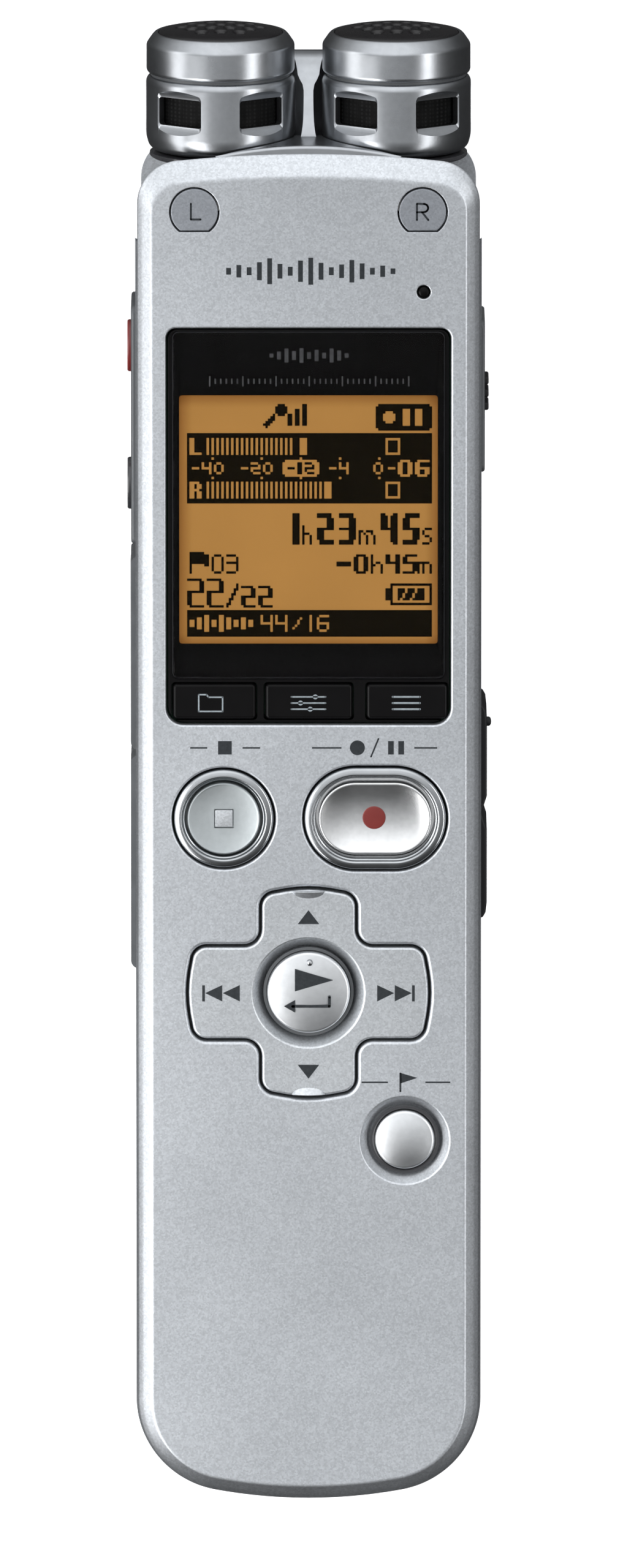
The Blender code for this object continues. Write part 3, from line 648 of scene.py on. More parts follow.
def make_display():
    opening = rounded((-12.35, 12.35), (4.65, 39.75), (1.45, 0.85))
    surround = build("screen_surround", pad(opening, *SCREEN_FRAME_Z, 0.1, 0.12))
    modify(surround, prism(rounded((-12.0, 12.0), (8.5, 39.6), 0.6), PLATE_UNDER_Z, 17))
    modify(surround, prism(rounded((-11.45, 11.45), (10.7, 34.35), 0.3), 13, 17))
    for x in KEY_WELLS:
        modify(surround, prism(rounded(x, (4.85, 8.25), 0.35), 13, 17))
    place(even_normals(set_sharp(surround)), BLACK_GLOSS, "black_gloss", "recorder", "display_frame")

    window = build("screen_glass", pad(rounded((-11.9, 11.9), (8.62, 39.5), 0.55), *GLASS_Z, 0.0, 0.14))
    place(even_normals(window), CLEAR, "window_clear", "recorder", "display_window")

    rim = rounded((-11.96, 11.96), (8.56, 39.56), 0.6)
    rim_steps = ((0.0, 15.1), (0.0, 15.62), (0.07, 15.72), (0.1, 15.6), (0.1, 15.1))
    place(build("screen_rim", ring_of(levels(rim, rim_steps))), DARK_GLOSS, "black_gloss", "recorder")

    mask = build("screen_mask", prism(rounded((-11.85, 11.85), (8.7, 39.45), 0.5), *MASK_Z))
    modify(mask, prism(rounded((-11.35, 11.35), (11.6, 33.8), 0.27), 14, 16))
    place(mask, MASK_INK, "black_gloss", "recorder")

    panel = build("lcd_cell", prism(rounded((-11.4, 11.4), (10.7, 34.3), 0.2), *LCD_Z))
    place(panel, AMBER, "lcd_amber", "recorder", "lcd_module")


def make_display_keys():
    for node, x in KEY_SPANS:
        shape = pad(rounded(x, (4.93, 8.12), 0.4), FLANGE_Z, 15.68, 0.0, 0.3)
        cap = build(node.replace("button", "keycap"), shape)
        place(even_normals(cap), BLACK_GLOSS, "black_gloss", node, node)


# ---------------------------------------------------------------- display contents

# The dot grid: its upper left corner and the pitch of its columns and rows
GRID_AT = (-10.67, 32.93)
GRID_PITCH = (0.2152, 0.2166)
# Which of seven bars each digit lights: a to f clockwise from the top, g in the middle
SEGMENTS = dict(zip("0123456789", "abcdef bc abged abgcd fgbc afgcd afgedc abc abcdefg abcdfg".split()))


class Dots:
    """The display's dots, collected as cells of a grid and then drawn as merged runs."""

    def __init__(self):
        self.on = set()

    def fill(self, columns, rows, lit=True):
        """Lights or clears a block. Columns and rows are each one number, or the first and the last."""
        (left, right), (top, last) = ((n, n) if isinstance(n, int) else n for n in (columns, rows))
        cells = {(c, r) for c in range(left, right + 1) for r in range(top, last + 1)}
        self.on = self.on | cells if lit else self.on - cells

    def outline(self, columns, rows, lit=True):
        for row in rows:
            self.fill(columns, row, lit)
        for column in columns:
            self.fill(column, rows, lit)

    def picture(self, lines, column, row, lit=True):
        """Dots given as rows of marks, where # is a dot."""
        for down, line in enumerate(lines.split()):
            for right, mark in enumerate(line):
                if mark == "#":
                    self.fill(column + right, row + down, lit)

    def digit(self, number, columns, rows, thick=1, lit=True):
        """A digit of seven bars. Upright bars are thick dots wide and level bars are one dot high."""
        left = (columns[0], columns[0] + thick - 1)
        right = (columns[1] - thick + 1, columns[1])
        top, last = rows
        half = sum(rows) // 2
        reach = {"a": (columns, top), "g": (columns, half), "d": (columns, last)}
        reach |= {"f": (left, (top, half)), "b": (right, (top, half))}
        reach |= {"e": (left, (half, last)), "c": (right, (half, last))}
        lights = SEGMENTS[number]
        for segment in lights:
            self.fill(*reach[segment], lit)
        for level, row, uprights in (("a", top, "fb"), ("d", last, "ec")):
            for upright, column in zip(uprights, columns):
                if level in lights and upright in lights:
                    self.fill(column, row, not lit)

    def shape(self, z):
        """Merges lit cells into blocks, each as wide and then as tall as it can be."""
        blocks = []
        left = set(self.on)
        for column, row in sorted(self.on, key=lambda cell: (cell[1], cell[0])):
            if (column, row) not in left:
                continue
            end, last = column, row
            while (end + 1, row) in left:
                end += 1
            while all((c, last + 1) in left for c in range(column, end + 1)):
                last += 1
            left -= {(c, r) for c in range(column, end + 1) for r in range(row, last + 1)}
            x = [GRID_AT[0] + GRID_PITCH[0] * c for c in (column, end + 1)]
            y = [GRID_AT[1] - GRID_PITCH[1] * r for r in (last + 1, row)]
            blocks += block(x, y, z)
        return blocks


def draw_top_row(dots):
    """A microphone with three level bars, and the recording sign: a dot and two bars."""
    microphone = "......###. .....##### .....##### .....##### ....#.###. "
    microphone += "...##..... ..###..... .###...... ###....... .#........"
    dots.picture(microphone, 31, 0)
    for column, top in ((41, 4), (44, 2), (47, 0)):
        dots.fill((column, column + 1), (top, 8))
    dots.fill((77, 99), (1, 9))
    dots.fill((78, 98), (0, 10))
    dots.picture(".###. ##### ##### ##### .###.", 80, 3, False)
    for column in (88, 93):
        dots.fill((column, column + 2), (2, 8), False)


def draw_level_meter(dots):
    """Two level bars on a dark band, with the scale between them."""
    dots.fill((0, 99), (12, 40))
    dots.picture("##... ##... ##... ##... ##... ##... #####", 1, 14, False)
    dots.picture("####. ##.## ##.## ####. ##.## ##.## ##.##", 1, 32, False)
    for top, last, block_at in ((14, 42, 46), (32, 54, 56)):
        for column in range(8, last + 1, 2):
            dots.fill(column, (top, top + 6), False)
        dots.fill((block_at, block_at + 2), (top, top + 6), False)
        dots.outline((81, 86), (top, top + 6), False)
    for column in (10, 30, 46, 62, 78):
        dots.fill(column, 22, False)
        dots.fill(column, 30, False)
    for minus, digits in ((2, ((6, "4"), (11, "0"))), (22, ((26, "2"), (31, "0"))), (58, ((62, "4"),))):
        dots.fill((minus, minus + 2), 26, False)
        for column, number in digits:
            dots.digit(number, (column, column + 3), (24, 28), 1, False)
    dots.fill((39, 53), (24, 28), False)
    dots.fill((40, 52), (23, 29), False)
    dots.fill((41, 43), 26)
    dots.fill((45, 46), (24, 28))
    dots.digit("2", (48, 51), (24, 28))
    dots.digit("0", (76, 79), (24, 28), 1, False)
    dots.fill((82, 84), 26, False)
    dots.digit("0", (86, 91), (23, 29), 2, False)
    dots.digit("6", (93, 98), (23, 29), 2, False)


def draw_times(dots):
    """The counter, the flag and number of the last mark, and the time that is left."""
    dots.fill((43, 45), (45, 57))
    for number, column in (("2", 53), ("3", 62), ("4", 79), ("5", 88)):
        dots.digit(number, (column, column + 6), (45, 57), 2)
        dots.digit(number, (column, column + 6), (46, 56), 3)
    dots.picture("#... #... #... ###. #..# #..# #..# #..#", 47, 50)
    dots.picture("##.###. #.#..#. #..#..# #..#..# #..#..# #..#..#", 70, 52)
    dots.picture(".### #... #... .##. ...# ...# ###.", 96, 51)
    dots.picture("######.. ######## ######## ######## ######## #.....## #....... #....... #.......", 1, 61)
    dots.digit("0", (10, 14), (62, 69))
    dots.digit("3", (16, 20), (62, 69))
    dots.fill((61, 66), (65, 66))
    for number, column in (("0", 68), ("4", 81), ("5", 88)):
        dots.digit(number, (column, column + 5), (62, 69), 2)
    dots.picture("#.... #.... #.... #.##. ##..# #...# #...# #...#", 75, 62)
    dots.picture("#####. #.#..# #.#..# #.#..# #.#..#", 94, 65)


def draw_bottom_rows(dots):
    """The file number, the battery, and the format band with a small sound wave."""
    for column in (0, 8):
        dots.digit("2", (column, column + 6), (72, 83), 2)
    dots.picture("....# ....# ...## ...#. ..##. ..#.. .##.. .#... ##... #....", 16, 74)
    for column in (22, 29):
        dots.digit("2", (column, column + 5), (75, 83), 2)
    dots.outline((83, 99), (74, 82))
    dots.outline((84, 98), (75, 81), False)
    dots.fill((81, 82), (76, 80))
    dots.fill((86, 96), (76, 80))
    for column in (89, 93):
        for row in range(5):
            dots.fill(column - row // 2, 76 + row, False)
    dots.fill((0, 99), (85, 95))
    for column, height in zip(range(1, 28, 3), (2, 4, 6, 3, 6, 5, 2, 4, 3)):
        dots.fill((column, column + 1), (90 - height // 2, 90 + height // 2), False)
    for number, column in (("4", 30), ("4", 36), ("6", 53)):
        dots.digit(number, (column, column + 4), (87, 93), 1, False)
    dots.picture("...# ..#. ..#. .#.. #...", 43, 88, False)
    dots.fill(50, (87, 93), False)


def make_display_dots():
    dots = Dots()
    draw_top_row(dots)
    draw_level_meter(dots)
    draw_times(dots)
    draw_bottom_rows(dots)
    place(build("lcd_dots", dots.shape(DOT_Z)), DOT_INK, "lcd_amber", "recorder")


# ---------------------------------------------------------------- printed marks


def stroke(points, width, z):
    """A drawn line with round ends and joints."""
    drawn = []
    for start, end in zip(map(Vector, points), map(Vector, points[1:])):
        run = (end - start).normalized() * (width / 2)
        side = Vector((-run.y, run.x))
        drawn += prism([start - side, end - side, end + side, start + side], *z)
    for point in points:
        drawn += prism(circle(point, width / 2, 12), *z)
    return drawn


def bar(centre, width, height, z):
    x = (centre[0] - width / 2, centre[0] + width / 2)
    return block(x, (centre[1] - height / 2, centre[1] + height / 2), z)


def sound_wave(centre, heights, pitch, width, z):
    """Upright bars side by side."""
    x = centre[0] - pitch * (len(heights) - 1) / 2
    shape = []
    for i, height in enumerate(heights):
        shape += bar((x + i * pitch, centre[1]), width, height, z)
    return shape


def print_on(name, shape, finish, slot, body):
    place(build(name, shape), finish, slot, body)


def make_face_marks():
    wave = (0.6, 1.1, 0.7, 1.6, 2.3, 1.3, 0.8, 1.9, 2.4, 1.5, 0.7, 1.2, 2.0, 1.4, 0.6, 1.0, 0.5)
    shape = sound_wave((0.2, 45.0), wave, 0.9, 0.42, FACE_INK_Z)
    print_on("wave_mark", shape, INK, "black_matte", "recorder")
    # A square over the stop key, a dot, slash and two bars over the record key, a flag over the mark key
    marks = bar((-7.35, 2.45), 1.2, 1.2, FACE_INK_Z)
    marks += prism(circle((4.3, 2.45), 0.66, 32), *FACE_INK_Z)
    marks += stroke(((5.5, 1.65), (6.15, 3.25)), 0.14, FACE_INK_Z)
    for x in (7.25, 8.15):
        marks += bar((x, 2.45), 0.5, 1.2, FACE_INK_Z)
    marks += stroke(((8.1, -28.4), (8.1, -26.8)), 0.16, FACE_INK_Z)
    marks += prism(((8.1, -26.75), (9.6, -27.2), (8.1, -27.7)), *FACE_INK_Z)
    # Short lines on both sides of each sign
    dashes = [(x, 2.44) for x in ((-10.4, -8.9), (-5.8, -4.25), (0.31, 2.9), (9.3, 11.32))]
    dashes += [(x, -27.6) for x in ((4.68, 7.0), (10.3, 12.5))]
    for x, y in dashes:
        marks += block(x, (y - 0.07, y + 0.07), FACE_INK_Z)
    print_on("face_marks", marks, INK, "black_matte", "recorder")


def make_key_marks():
    line = 0.13
    corner = (-9.65, 5.65)
    outline = (corner, (-9.65, 7.15), (-8.95, 7.15), (-8.8, 6.92), (-7.55, 6.92), (-7.55, 5.65), corner)
    print_on("folder_mark", stroke(outline, line, KEY_INK_Z), KEY_INK, "black_gloss", "folder_button")
    sliders = []
    lines = []
    for y, knob in ((6.95, 0.6), (6.4, -0.7), (5.85, 0.15)):
        sliders += stroke(((-1.5, y), (1.5, y)), line, KEY_INK_Z)
        sliders += prism(circle((knob, y), 0.22, 16), *KEY_INK_Z)
        lines += stroke(((7.4, y), (9.8, y)), 0.16, KEY_INK_Z)
    print_on("mode_mark", sliders, KEY_INK, "black_gloss", "mode_button")
    print_on("menu_mark", lines, KEY_INK, "black_gloss", "menu_button")


def make_cross_marks():
    """Arrows on the four-way key, and the play and return signs on the play key."""
    x, y = CROSS_AT
    signs = prism(((x - 0.95, y + 6.2), (x + 0.95, y + 6.2), (x, y + 7.45)), *CROSS_INK_Z)
    signs += prism(((x - 0.95, y - 6.45), (x, y - 7.7), (x + 0.95, y - 6.45)), *CROSS_INK_Z)
    for side in (-1, 1):
        signs += block(sorted((side * 9.36, side * 9.12)), (y - 0.75, y + 0.7), CROSS_INK_Z)
        for tip in (9.1, 7.55):
            back = side * (tip - 1.5)
            signs += prism(((side * tip, y), (back, y + 0.72), (back, y - 0.75)), *CROSS_INK_Z)
    print_on("direction_marks", signs, INK, "black_matte", "control_key")
    play = prism(((x - 1.2, y + 0.2), (x + 2.15, y + 1.2), (x - 1.2, y + 2.2)), *PLAY_INK_Z)
    play += stroke(((x + 1.85, y - 0.3), (x + 1.85, y - 1.15), (x - 1.4, y - 1.15)), 0.24, PLAY_INK_Z)
    play += prism(((x - 2.15, y - 1.15), (x - 1.2, y - 0.6), (x - 1.2, y - 1.7)), *PLAY_INK_Z)
    print_on("play_marks", play, INK, "black_matte", "play_button")


def make_window_marks():
    wave = (0.35, 0.7, 1.25, 0.8, 1.3, 0.6, 1.0, 0.5, 1.25, 0.9, 0.4)
    marks = sound_wave((0.05, 37.35), wave, 0.66, 0.34, WINDOW_INK_Z)
    scale = [0.9 if i % 6 == 0 else 0.45 for i in range(37)]
    marks += sound_wave((0.065, 35.05), scale, 0.485, 0.13, WINDOW_INK_Z)
    print_on("window_marks", marks, DIM_INK, "black_gloss", "recorder")


def make_lamp_letters():
    width = 0.17
    x = -10.3
    left = stroke(((x, 51.0), (x, 49.6), (x + 0.85, 49.6)), width, LAMP_INK_Z)
    print_on("left_letter", left, INK, "black_matte", "recorder")
    x = 9.5
    right = stroke(((x, 49.55), (x, 51.0), (x + 0.65, 50.98)), width, LAMP_INK_Z)
    right += stroke(arc((x + 0.62, 50.62), 0.36, 90, -90, 8) + [(x, 50.24)], width, LAMP_INK_Z)
    right += stroke(((x + 0.45, 50.24), (x + 1.0, 49.55)), width, LAMP_INK_Z)
    print_on("right_letter", right, INK, "black_matte", "recorder")


# ---------------------------------------------------------------- front buttons

# A raised ring from its outer foot to its inner foot: distance in from the hole's edge, and height
RING_PROFILE = ((0.13, 14.9), (0.13, 15.7), (0.17, 15.93), (0.25, 16.07), (0.37, 16.14), (0.62, 16.2))
RING_PROFILE += ((0.78, 16.22), (0.88, 16.14), (0.98, 15.95), (1.08, 15.9), (1.15, 15.8), (1.17, 14.9))


def ring_round(name, edge, node):
    rings = levels(edge, eased(RING_PROFILE, 0.08))
    place(even_normals(build(name, ring_of(rings))), BRIGHT, "bright_trim", "recorder", node)


def make_stop_button():
    ring_round("stop_surround", circle(STOP_AT, STOP_HOLE_R), "stop_ring")
    profile = ((3.85, FLANGE_Z), (3.85, FLANGE_TOP_Z), (3.2, FLANGE_TOP_Z))
    profile += ((3.2, 15.9), (3.17, 16.0), (3.08, 16.05))
    button = build("stop_key", turned((*profile, (2.9, 15.97), (0, 15.97)), STOP_AT, "Z"))
    centre = (STOP_AT[0] + 0.02, STOP_AT[1])
    recess, inlay = ([(c - half, c + half) for c in centre] for half in (0.865, 0.755))
    modify(button, prism(rounded(*recess, 0.06, 3), 15.6, 16.4))
    place(even_normals(set_sharp(button, 50.0)), BLASTED, "silver_key", "stop_button", "stop_button")
    square = build("stop_square", pad(rounded(*inlay, 0.05, 3), 15.5, 15.93, 0, 0.03))
    place(square, SILVER_KEY, "silver_key", "stop_button")


def make_record_button():
    ring_round("record_surround", stadium(RECORD_AT, *RECORD_HOLE), "record_ring")
    rim, reach, depth = 0.24, 3.15, 0.5
    steps = [(-0.6, FLANGE_Z), (-0.6, FLANGE_TOP_Z), (0, FLANGE_TOP_Z), (0, 15.85)]
    steps += [(0.03, 15.97), (0.12, 16.03), (rim, 16.0)]
    for i in range(15):
        share = i / 14
        steps.append((rim + (reach - rim) * share, 15.99 - depth * (1 - (1 - share) ** 2)))
    button = build("record_key", loft(levels(stadium(RECORD_AT, 4.98, 3.23, 48), steps)), 50.0)
    place(button, POLISHED, "bright_trim", "record_button", "record_button")
    dot = ((1.02, 15.3), (1.02, 15.56), (0.97, 15.61), (0.8, 15.63), (0, 15.6))
    spot = build("record_dot", turned(dot, (RECORD_AT[0] - 0.1, RECORD_AT[1]), "Z", 48))
    place(spot, RED_DOT, "red_ring", "record_button")


def arm_ridge(side):
    """A low ridge that rises to the outer end of an arm, with a curved foot."""
    y_end = CROSS_AT[1] + side * 9.18
    low = 15.85
    rings = []
    for i in range(17):
        across = -1.0 + i / 8
        bow = math.sqrt(max(1 - across**2, 0.0004))
        x = CROSS_AT[0] + 1.45 * across
        y = y_end - side * 0.02 * across**2
        foot = y - side * 0.72 * bow
        top = ((foot, 15.97), (y - side * 0.06, 15.98 + 0.4 * bow), (y, 15.95 + 0.36 * bow))
        rings.append([(x, *point) for point in (*top, (y, low), (foot, low))])
    return loft(rings)


def make_cross_key():
    key = build("four_way_key", pad(cross_outline(), FLANGE_TOP_Z, 16.0, 0.1, 0.24, steps=6))
    funnel = ((3.98, 14.0), (3.98, 14.55), (4.04, 14.62), (4.84, 15.84), (4.92, 15.93), (5.02, 15.98))
    modify(key, turned((*funnel, (5.1, 16.4)), CROSS_AT, "Z", 128))
    place(even_normals(set_sharp(key, 40.0)), SILVER_KEY, "silver_key", "control_key", "control_key")
    collar = [(3.72, 14.6), (3.98, 14.6), (3.98, 15.25), (3.72, 15.25)]
    place(build("play_collar", tube(collar, CROSS_AT, "Z")), DARK_GREY, "dark_grey", "control_key")
    for side, word in ((-1, "lower"), (1, "upper")):
        place(build(f"{word}_ridge", arm_ridge(side)), SILVER_KEY, "silver_key", "control_key")


def domed_key(name, centre, radius, rim, crown, slot, node, flange=0.0):
    """A round key: straight side, a tight rounded rim and a shallow crown."""
    profile = [(radius, FLANGE_Z)]
    if flange:
        profile = [(radius + flange, FLANGE_Z), (radius + flange, FLANGE_Z + 0.5), (radius, FLANGE_Z + 0.5)]
    profile += [(radius, rim - 0.3), (radius - 0.04, rim - 0.15), (radius - 0.14, rim - 0.03)]
    edge = radius - 0.28
    for i in range(9):
        share = i / 8
        profile.append((edge * (1 - share), rim + (crown - rim) * (1 - (1 - share) ** 2)))
    place(build(name, turned(profile, centre, "Z"), 45.0), KEY_METAL, slot, node, node)


def make_play_and_mark():
    domed_key("play_key", CROSS_AT, 3.66, 15.86, 16.24, "satin_metal", "play_button")
    nib = ((0.3, 16.0), (0.3, 16.1), (0.22, 16.24), (0.1, 16.3), (0, 16.31))
    nib_at = (CROSS_AT[0] + 0.1, CROSS_AT[1] + 2.75)
    place(build("play_nib", turned(nib, nib_at, "Z", 24)), BRIGHT, "bright_trim", "play_button")
    domed_key("mark_key", MARK_AT, 2.66, 15.78, 16.12, "silver_key", "track_mark_button", 0.7)
    collar = [(2.74, 14.9), (3.08, 14.9), (3.08, 15.42), (2.98, 15.5), (2.84, 15.5), (2.74, 15.42)]
    place(build("mark_collar", tube(collar, MARK_AT, "Z")), DARK_GLOSS, "dark_grey", "recorder")


def make_lamps():
    for side, word in SIDES:
        lens = build(f"{word}_lens", pad(lamp_outline(side, 2.06), 15.4, 15.99, 0.0, 0.1))
        place(even_normals(lens), LAMP_LENS, "lamp_lens", "recorder", f"peak_lamp_{word}")
    profile = ((0.5, 14.3), (0.5, 15.72), (0.42, 15.84), (0.24, 15.91), (0, 15.93))
    lamp = build("recording_lamp", turned(profile, LAMP_AT, "Z", 40))
    place(lamp, BLACK_GLOSS, "black_gloss", "recorder", "operation_lamp")


# ---------------------------------------------------------------- microphone heads

HEAD_R, CAP_R = 6.54, 6.5
WINDOW_Y = 58.55
# A window's funnel through the wall: distance from the head's axis, half width, half height, corner radius
WINDOW_STEPS = ((5.0, 2.25, 1.24, 0.25), (6.02, 2.25, 1.24, 0.25))
WINDOW_STEPS += ((6.16, 2.42, 1.6, 0.3), (6.9, 3.1, 2.3, 0.45))
GRILLE_R, GRILLE_TOP_Y, GRILLE_DROP = 5.2, 65.62, 0.52
HOLE_PITCH = 1.72


def window_cutter(centre, angle):
    """A four-sided funnel that leads out through the head's wall."""
    out = Vector((math.cos(angle), math.sin(angle)))
    across = Vector((-out.y, out.x))
    rings = []
    for reach, half, tall, corner in WINDOW_STEPS:
        ring = []
        for u, v in rounded((-half, half), (-tall, tall), corner, 5):
            x, z = Vector(centre) + out * reach + across * u
            ring.append((x, WINDOW_Y + v, z))
        rings.append(ring)
    return loft(rings)


def make_head_body(centre, body, word):
    wall = ((5.2, 54.62), (5.75, 54.62), (6.3, 55.0), (HEAD_R, 55.9), (HEAD_R, 60.7))
    wall = eased((*wall, (HEAD_R - 0.08, 60.95), (6.25, 61.2), (5.75, 61.2)), 0.35)
    shell = build(f"{word}_barrel", tube(wall + [(5.75, 55.6), (5.2, 55.4)], centre, "Y", 128))
    for number in range(5):
        modify(shell, window_cutter(centre, math.radians(90 + 36 + 72 * number)))
    place(even_normals(set_sharp(shell, 30.0)), SATIN, "satin_metal", body, f"head_body_{word}")
    sleeve = [(5.3, 56.0), (5.62, 56.0), (5.62, 60.9), (5.3, 60.9)]
    place(build(f"{word}_sleeve", tube(sleeve, centre)), MESH, "grille_black", body, f"head_mesh_{word}")


def make_head_cap(centre, body, word):
    outer = ((5.5, 61.42), (6.1, 61.42), (CAP_R - 0.12, 61.5), (CAP_R, 61.72), (CAP_R, 63.9))
    outer += ((CAP_R - 0.06, 64.08), (6.0, 64.72), (5.8, 64.93), (5.7, 64.98))
    cap = build(f"{word}_cap", tube(eased(outer, 0.12) + [(5.5, 64.95)], centre, "Y", 128), 30.0)
    place(even_normals(cap), SATIN, "satin_metal", body, f"head_cap_{word}")
    neck = build(f"{word}_groove", tube([(5.4, 61.0), (6.12, 61.0), (6.12, 61.6), (5.4, 61.6)], centre))
    place(neck, DARK_GREY, "dark_grey", body)


def make_grille(centre, body, word):
    """A shallow dome with nineteen flared holes in a hexagon."""
    dome = [(5.48, 64.0), (5.48, 64.86), (5.38, 65.0)]
    for i in range(11):
        share = 1 - i / 10
        dome.append((GRILLE_R * share, GRILLE_TOP_Y - GRILLE_DROP * share**2))
    grille = build(f"{word}_dome", turned(dome, centre))
    cutters = []
    for row in range(-2, 3):
        count = 5 - abs(row)
        for i in range(count):
            x = (i - (count - 1) / 2) * HOLE_PITCH
            z = row * HOLE_PITCH * math.sqrt(3) / 2
            top = GRILLE_TOP_Y - GRILLE_DROP * (x * x + z * z) / GRILLE_R**2
            hole = ((0.5, 64.3), (0.5, top - 0.2), (0.56, top - 0.07), (0.72, top + 0.03), (0.8, top + 0.2))
            cutters += turned(hole, (centre[0] + x, centre[1] + z), "Y", 24)
    modify(grille, cutters)
    place(even_normals(set_sharp(grille, 40.0)), GRILLE, "grille_black", body, f"head_grille_{word}")


def make_head(side, word):
    centre = (side * HEAD_X, HEAD_Z)
    body = f"{word}_head"
    make_head_body(centre, body, word)
    make_head_cap(centre, body, word)
    make_grille(centre, body, word)
    pivot = (side * HEAD_X, PIVOT_Y)
    disc = eased(((4.0, 53.95), (6.05, 53.95), (6.22, 54.1), (6.22, 54.4), (5.6, 54.5), (4.0, 54.5)), 0.05)
    drum = build(f"{word}_turntable", turned(((4.6, 1.6), (4.6, 14.5)), pivot, "Z"))
    modify(drum, block((-20, 20), (54.0, 60), (0, 16)))
    modify(drum, prism(circle(pivot, 1.3, 40), 0, 16))
    place(set_sharp(drum), DARK_GREY, "dark_grey", body, f"head_base_{word}")
    place(build(f"{word}_disc", turned(disc, centre)), DARK_GLOSS, "dark_grey", body)


# ---------------------------------------------------------------- saddle between the heads

# The saddle seen from the side, as (Y, Z): along its underside, up to the lip between the heads and back
SADDLE_SIDE = ((53.0, 1.5), (55.6, 1.5), (55.6, 0.1), (61.6, 0.1), (62.05, 0.6), (62.05, 3.6), (62.8, 4.3))
SADDLE_SIDE += ((62.8, 4.8), (62.5, 5.6), (61.5, 6.7), (60.3, 7.5), (58.8, 8.3), (57.2, 8.9), (55.9, 9.9))
SADDLE_SIDE += ((54.9, 11.6), (54.0, 14.2), (53.0, 14.2))
# The room that a head takes up in it: radius and Y
POCKET = ((7.3, 53.5), (7.3, 59.7), (7.22, 60.2), (7.0, 60.6), (6.85, 61.0), (6.85, 63.2))


def make_saddle():
    half = 7.5
    saddle = build("saddle", prism(eased(SADDLE_SIDE, 0.6, 6), -half, half, "X"))
    pockets = [part for side in (-1, 1) for part in turned(POCKET, (side * HEAD_X, HEAD_Z), "Y", 160)]
    modify(saddle, pockets)
    modify(saddle, prism(rounded((-half, half), (50.0, 63.2), 3.5), -1, 17), "INTERSECT")
    modify(saddle, block((-7.3, 7.3), (44.6, 53.6), (1.5, 14.55)), "UNION")
    modify(saddle, block((-13.1, 13.1), (44.5, 45.9), (2.4, 12.7)), "UNION")
    for side in (-1, 1):
        modify(saddle, turned(((4.9, 0), (4.9, 16)), (side * HEAD_X, PIVOT_Y), "Z"))
    set_sharp(saddle, 40.0)
    place(soften(saddle, 0.12), SATIN, "bright_trim", "recorder", "mic_bridge")

    deck_half = 8.2
    crest = [(deck_half * i / 20, 55.95 - 0.9 * (i / 20) ** 2) for i in range(20, -21, -1)]
    outline = [(-deck_half, 53.8), (deck_half, 53.8), *crest]
    deck = build("saddle_deck", pad(outline, 9.0, 14.85, 0.2, 0.3))
    for side in (-1, 1):
        modify(deck, turned(((6.66, 53.0), (6.66, 57.0)), (side * HEAD_X, HEAD_Z), "Y", 160))
    place(soften(set_sharp(deck, 40.0), 0.08, 2), SATIN, "bright_trim", "recorder")


# ---------------------------------------------------------------- sides

SIDE_Z = span("jack_panel", 2)
SKIN_X = 15.6
# A jack's barrel and its bore: radius and X
JACK_PROFILE = ((2.3, -4.5), (2.3, -15.8), (2.2, -15.93), (1.98, -15.93), (1.8, -15.75), (1.78, -15.5))
JACK_PROFILE += ((1.78, -5.5), (0, -5.5))


def side_plate(name, side, y, z, inner, outer, corner, ease):
    x = sorted((side * inner, side * outer))
    under, over = (ease, 0.0) if side < 0 else (0.0, ease)
    return build(name, pad(rounded(y, z, corner), *x, under, over, "X"))


def make_jacks():
    panel = side_plate("jack_plate", -1, span("jack_panel", 1), SIDE_Z, 14.2, SKIN_X, 0.7, 0.25)
    looks = (("mic_jack", RED_RING, "red_ring"), ("headphone_jack", DARK_GLOSS, "black_gloss"))
    for node, finish, slot in looks:
        centre = middle(node, 1, 2)
        modify(panel, turned(((2.55, -17), (2.55, -13)), centre, "X"))
        barrel = build(f"{node}_barrel", turned(JACK_PROFILE, centre, "X"))
        place(barrel, finish, slot, "recorder", node)
        contact = [(1.5, -13.5), (1.74, -13.5), (1.74, -15.45), (1.68, -15.5), (1.5, -15.4)]
        place(build(f"{node}_contact", tube(contact, centre, "X")), STEEL, "steel", "recorder")
    place(even_normals(set_sharp(panel)), DARK_GREY, "dark_grey", "recorder", "jack_panel")


def make_doors():
    for node in ("usb_door", "card_door"):
        y = span(node, 1)
        hinge_x, thick = -14.95, 0.7
        end = arc((hinge_x, y[0] + thick), thick, 180, 360, 16)
        outline = end + [(hinge_x + thick, y[1] - 0.3)]
        outline += [(hinge_x - thick + 0.4, y[1]), (hinge_x - thick, y[1] - 0.4)]
        door = build(f"{node}_leaf", prism(outline, *SIDE_Z))
        modify(door, turned(((1.6, y[1] - 1.5), (1.3, y[1] + 1)), (-16.9, sum(SIDE_Z) / 2), "Y", 48))
        for z in (SIDE_Z[0] + 1.0, SIDE_Z[1] - 1.0):
            modify(door, block((-16, -15.5), (y[0] + 1.5, y[1] - 1.6), (z - 0.12, z + 0.12)))
        soften(set_sharp(door), 0.16)
        place(door, DARK_GREY, "dark_grey", node, node)


def make_hold_switch():
    y = span("hold_switch_plate", 1)
    plate = side_plate("switch_plate", 1, y, SIDE_Z, 14.2, 15.5, 0.7, 0.25)
    modify(plate, prism(rounded((28.0, 37.9), (6.0, 10.0), 0.8), 13, 17, "X"))
    place(even_normals(set_sharp(plate)), DARK_GREY, "dark_grey", "recorder", "hold_switch_plate")
    knob = pad(rounded(span("hold_switch", 1), (6.3, 9.7), 0.6), 13.4, 15.35, 0.0, 0.2, "X")
    for rib_y in (34.08, 32.94, 31.79):
        knob += pad(rounded((rib_y - 0.35, rib_y + 0.35), (6.5, 9.5), 0.2), 15.2, 15.85, 0.0, 0.18, "X")
    place(even_normals(build("switch_knob", knob)), BLACK_MATTE, "black_matte", "hold_switch", "hold_switch")


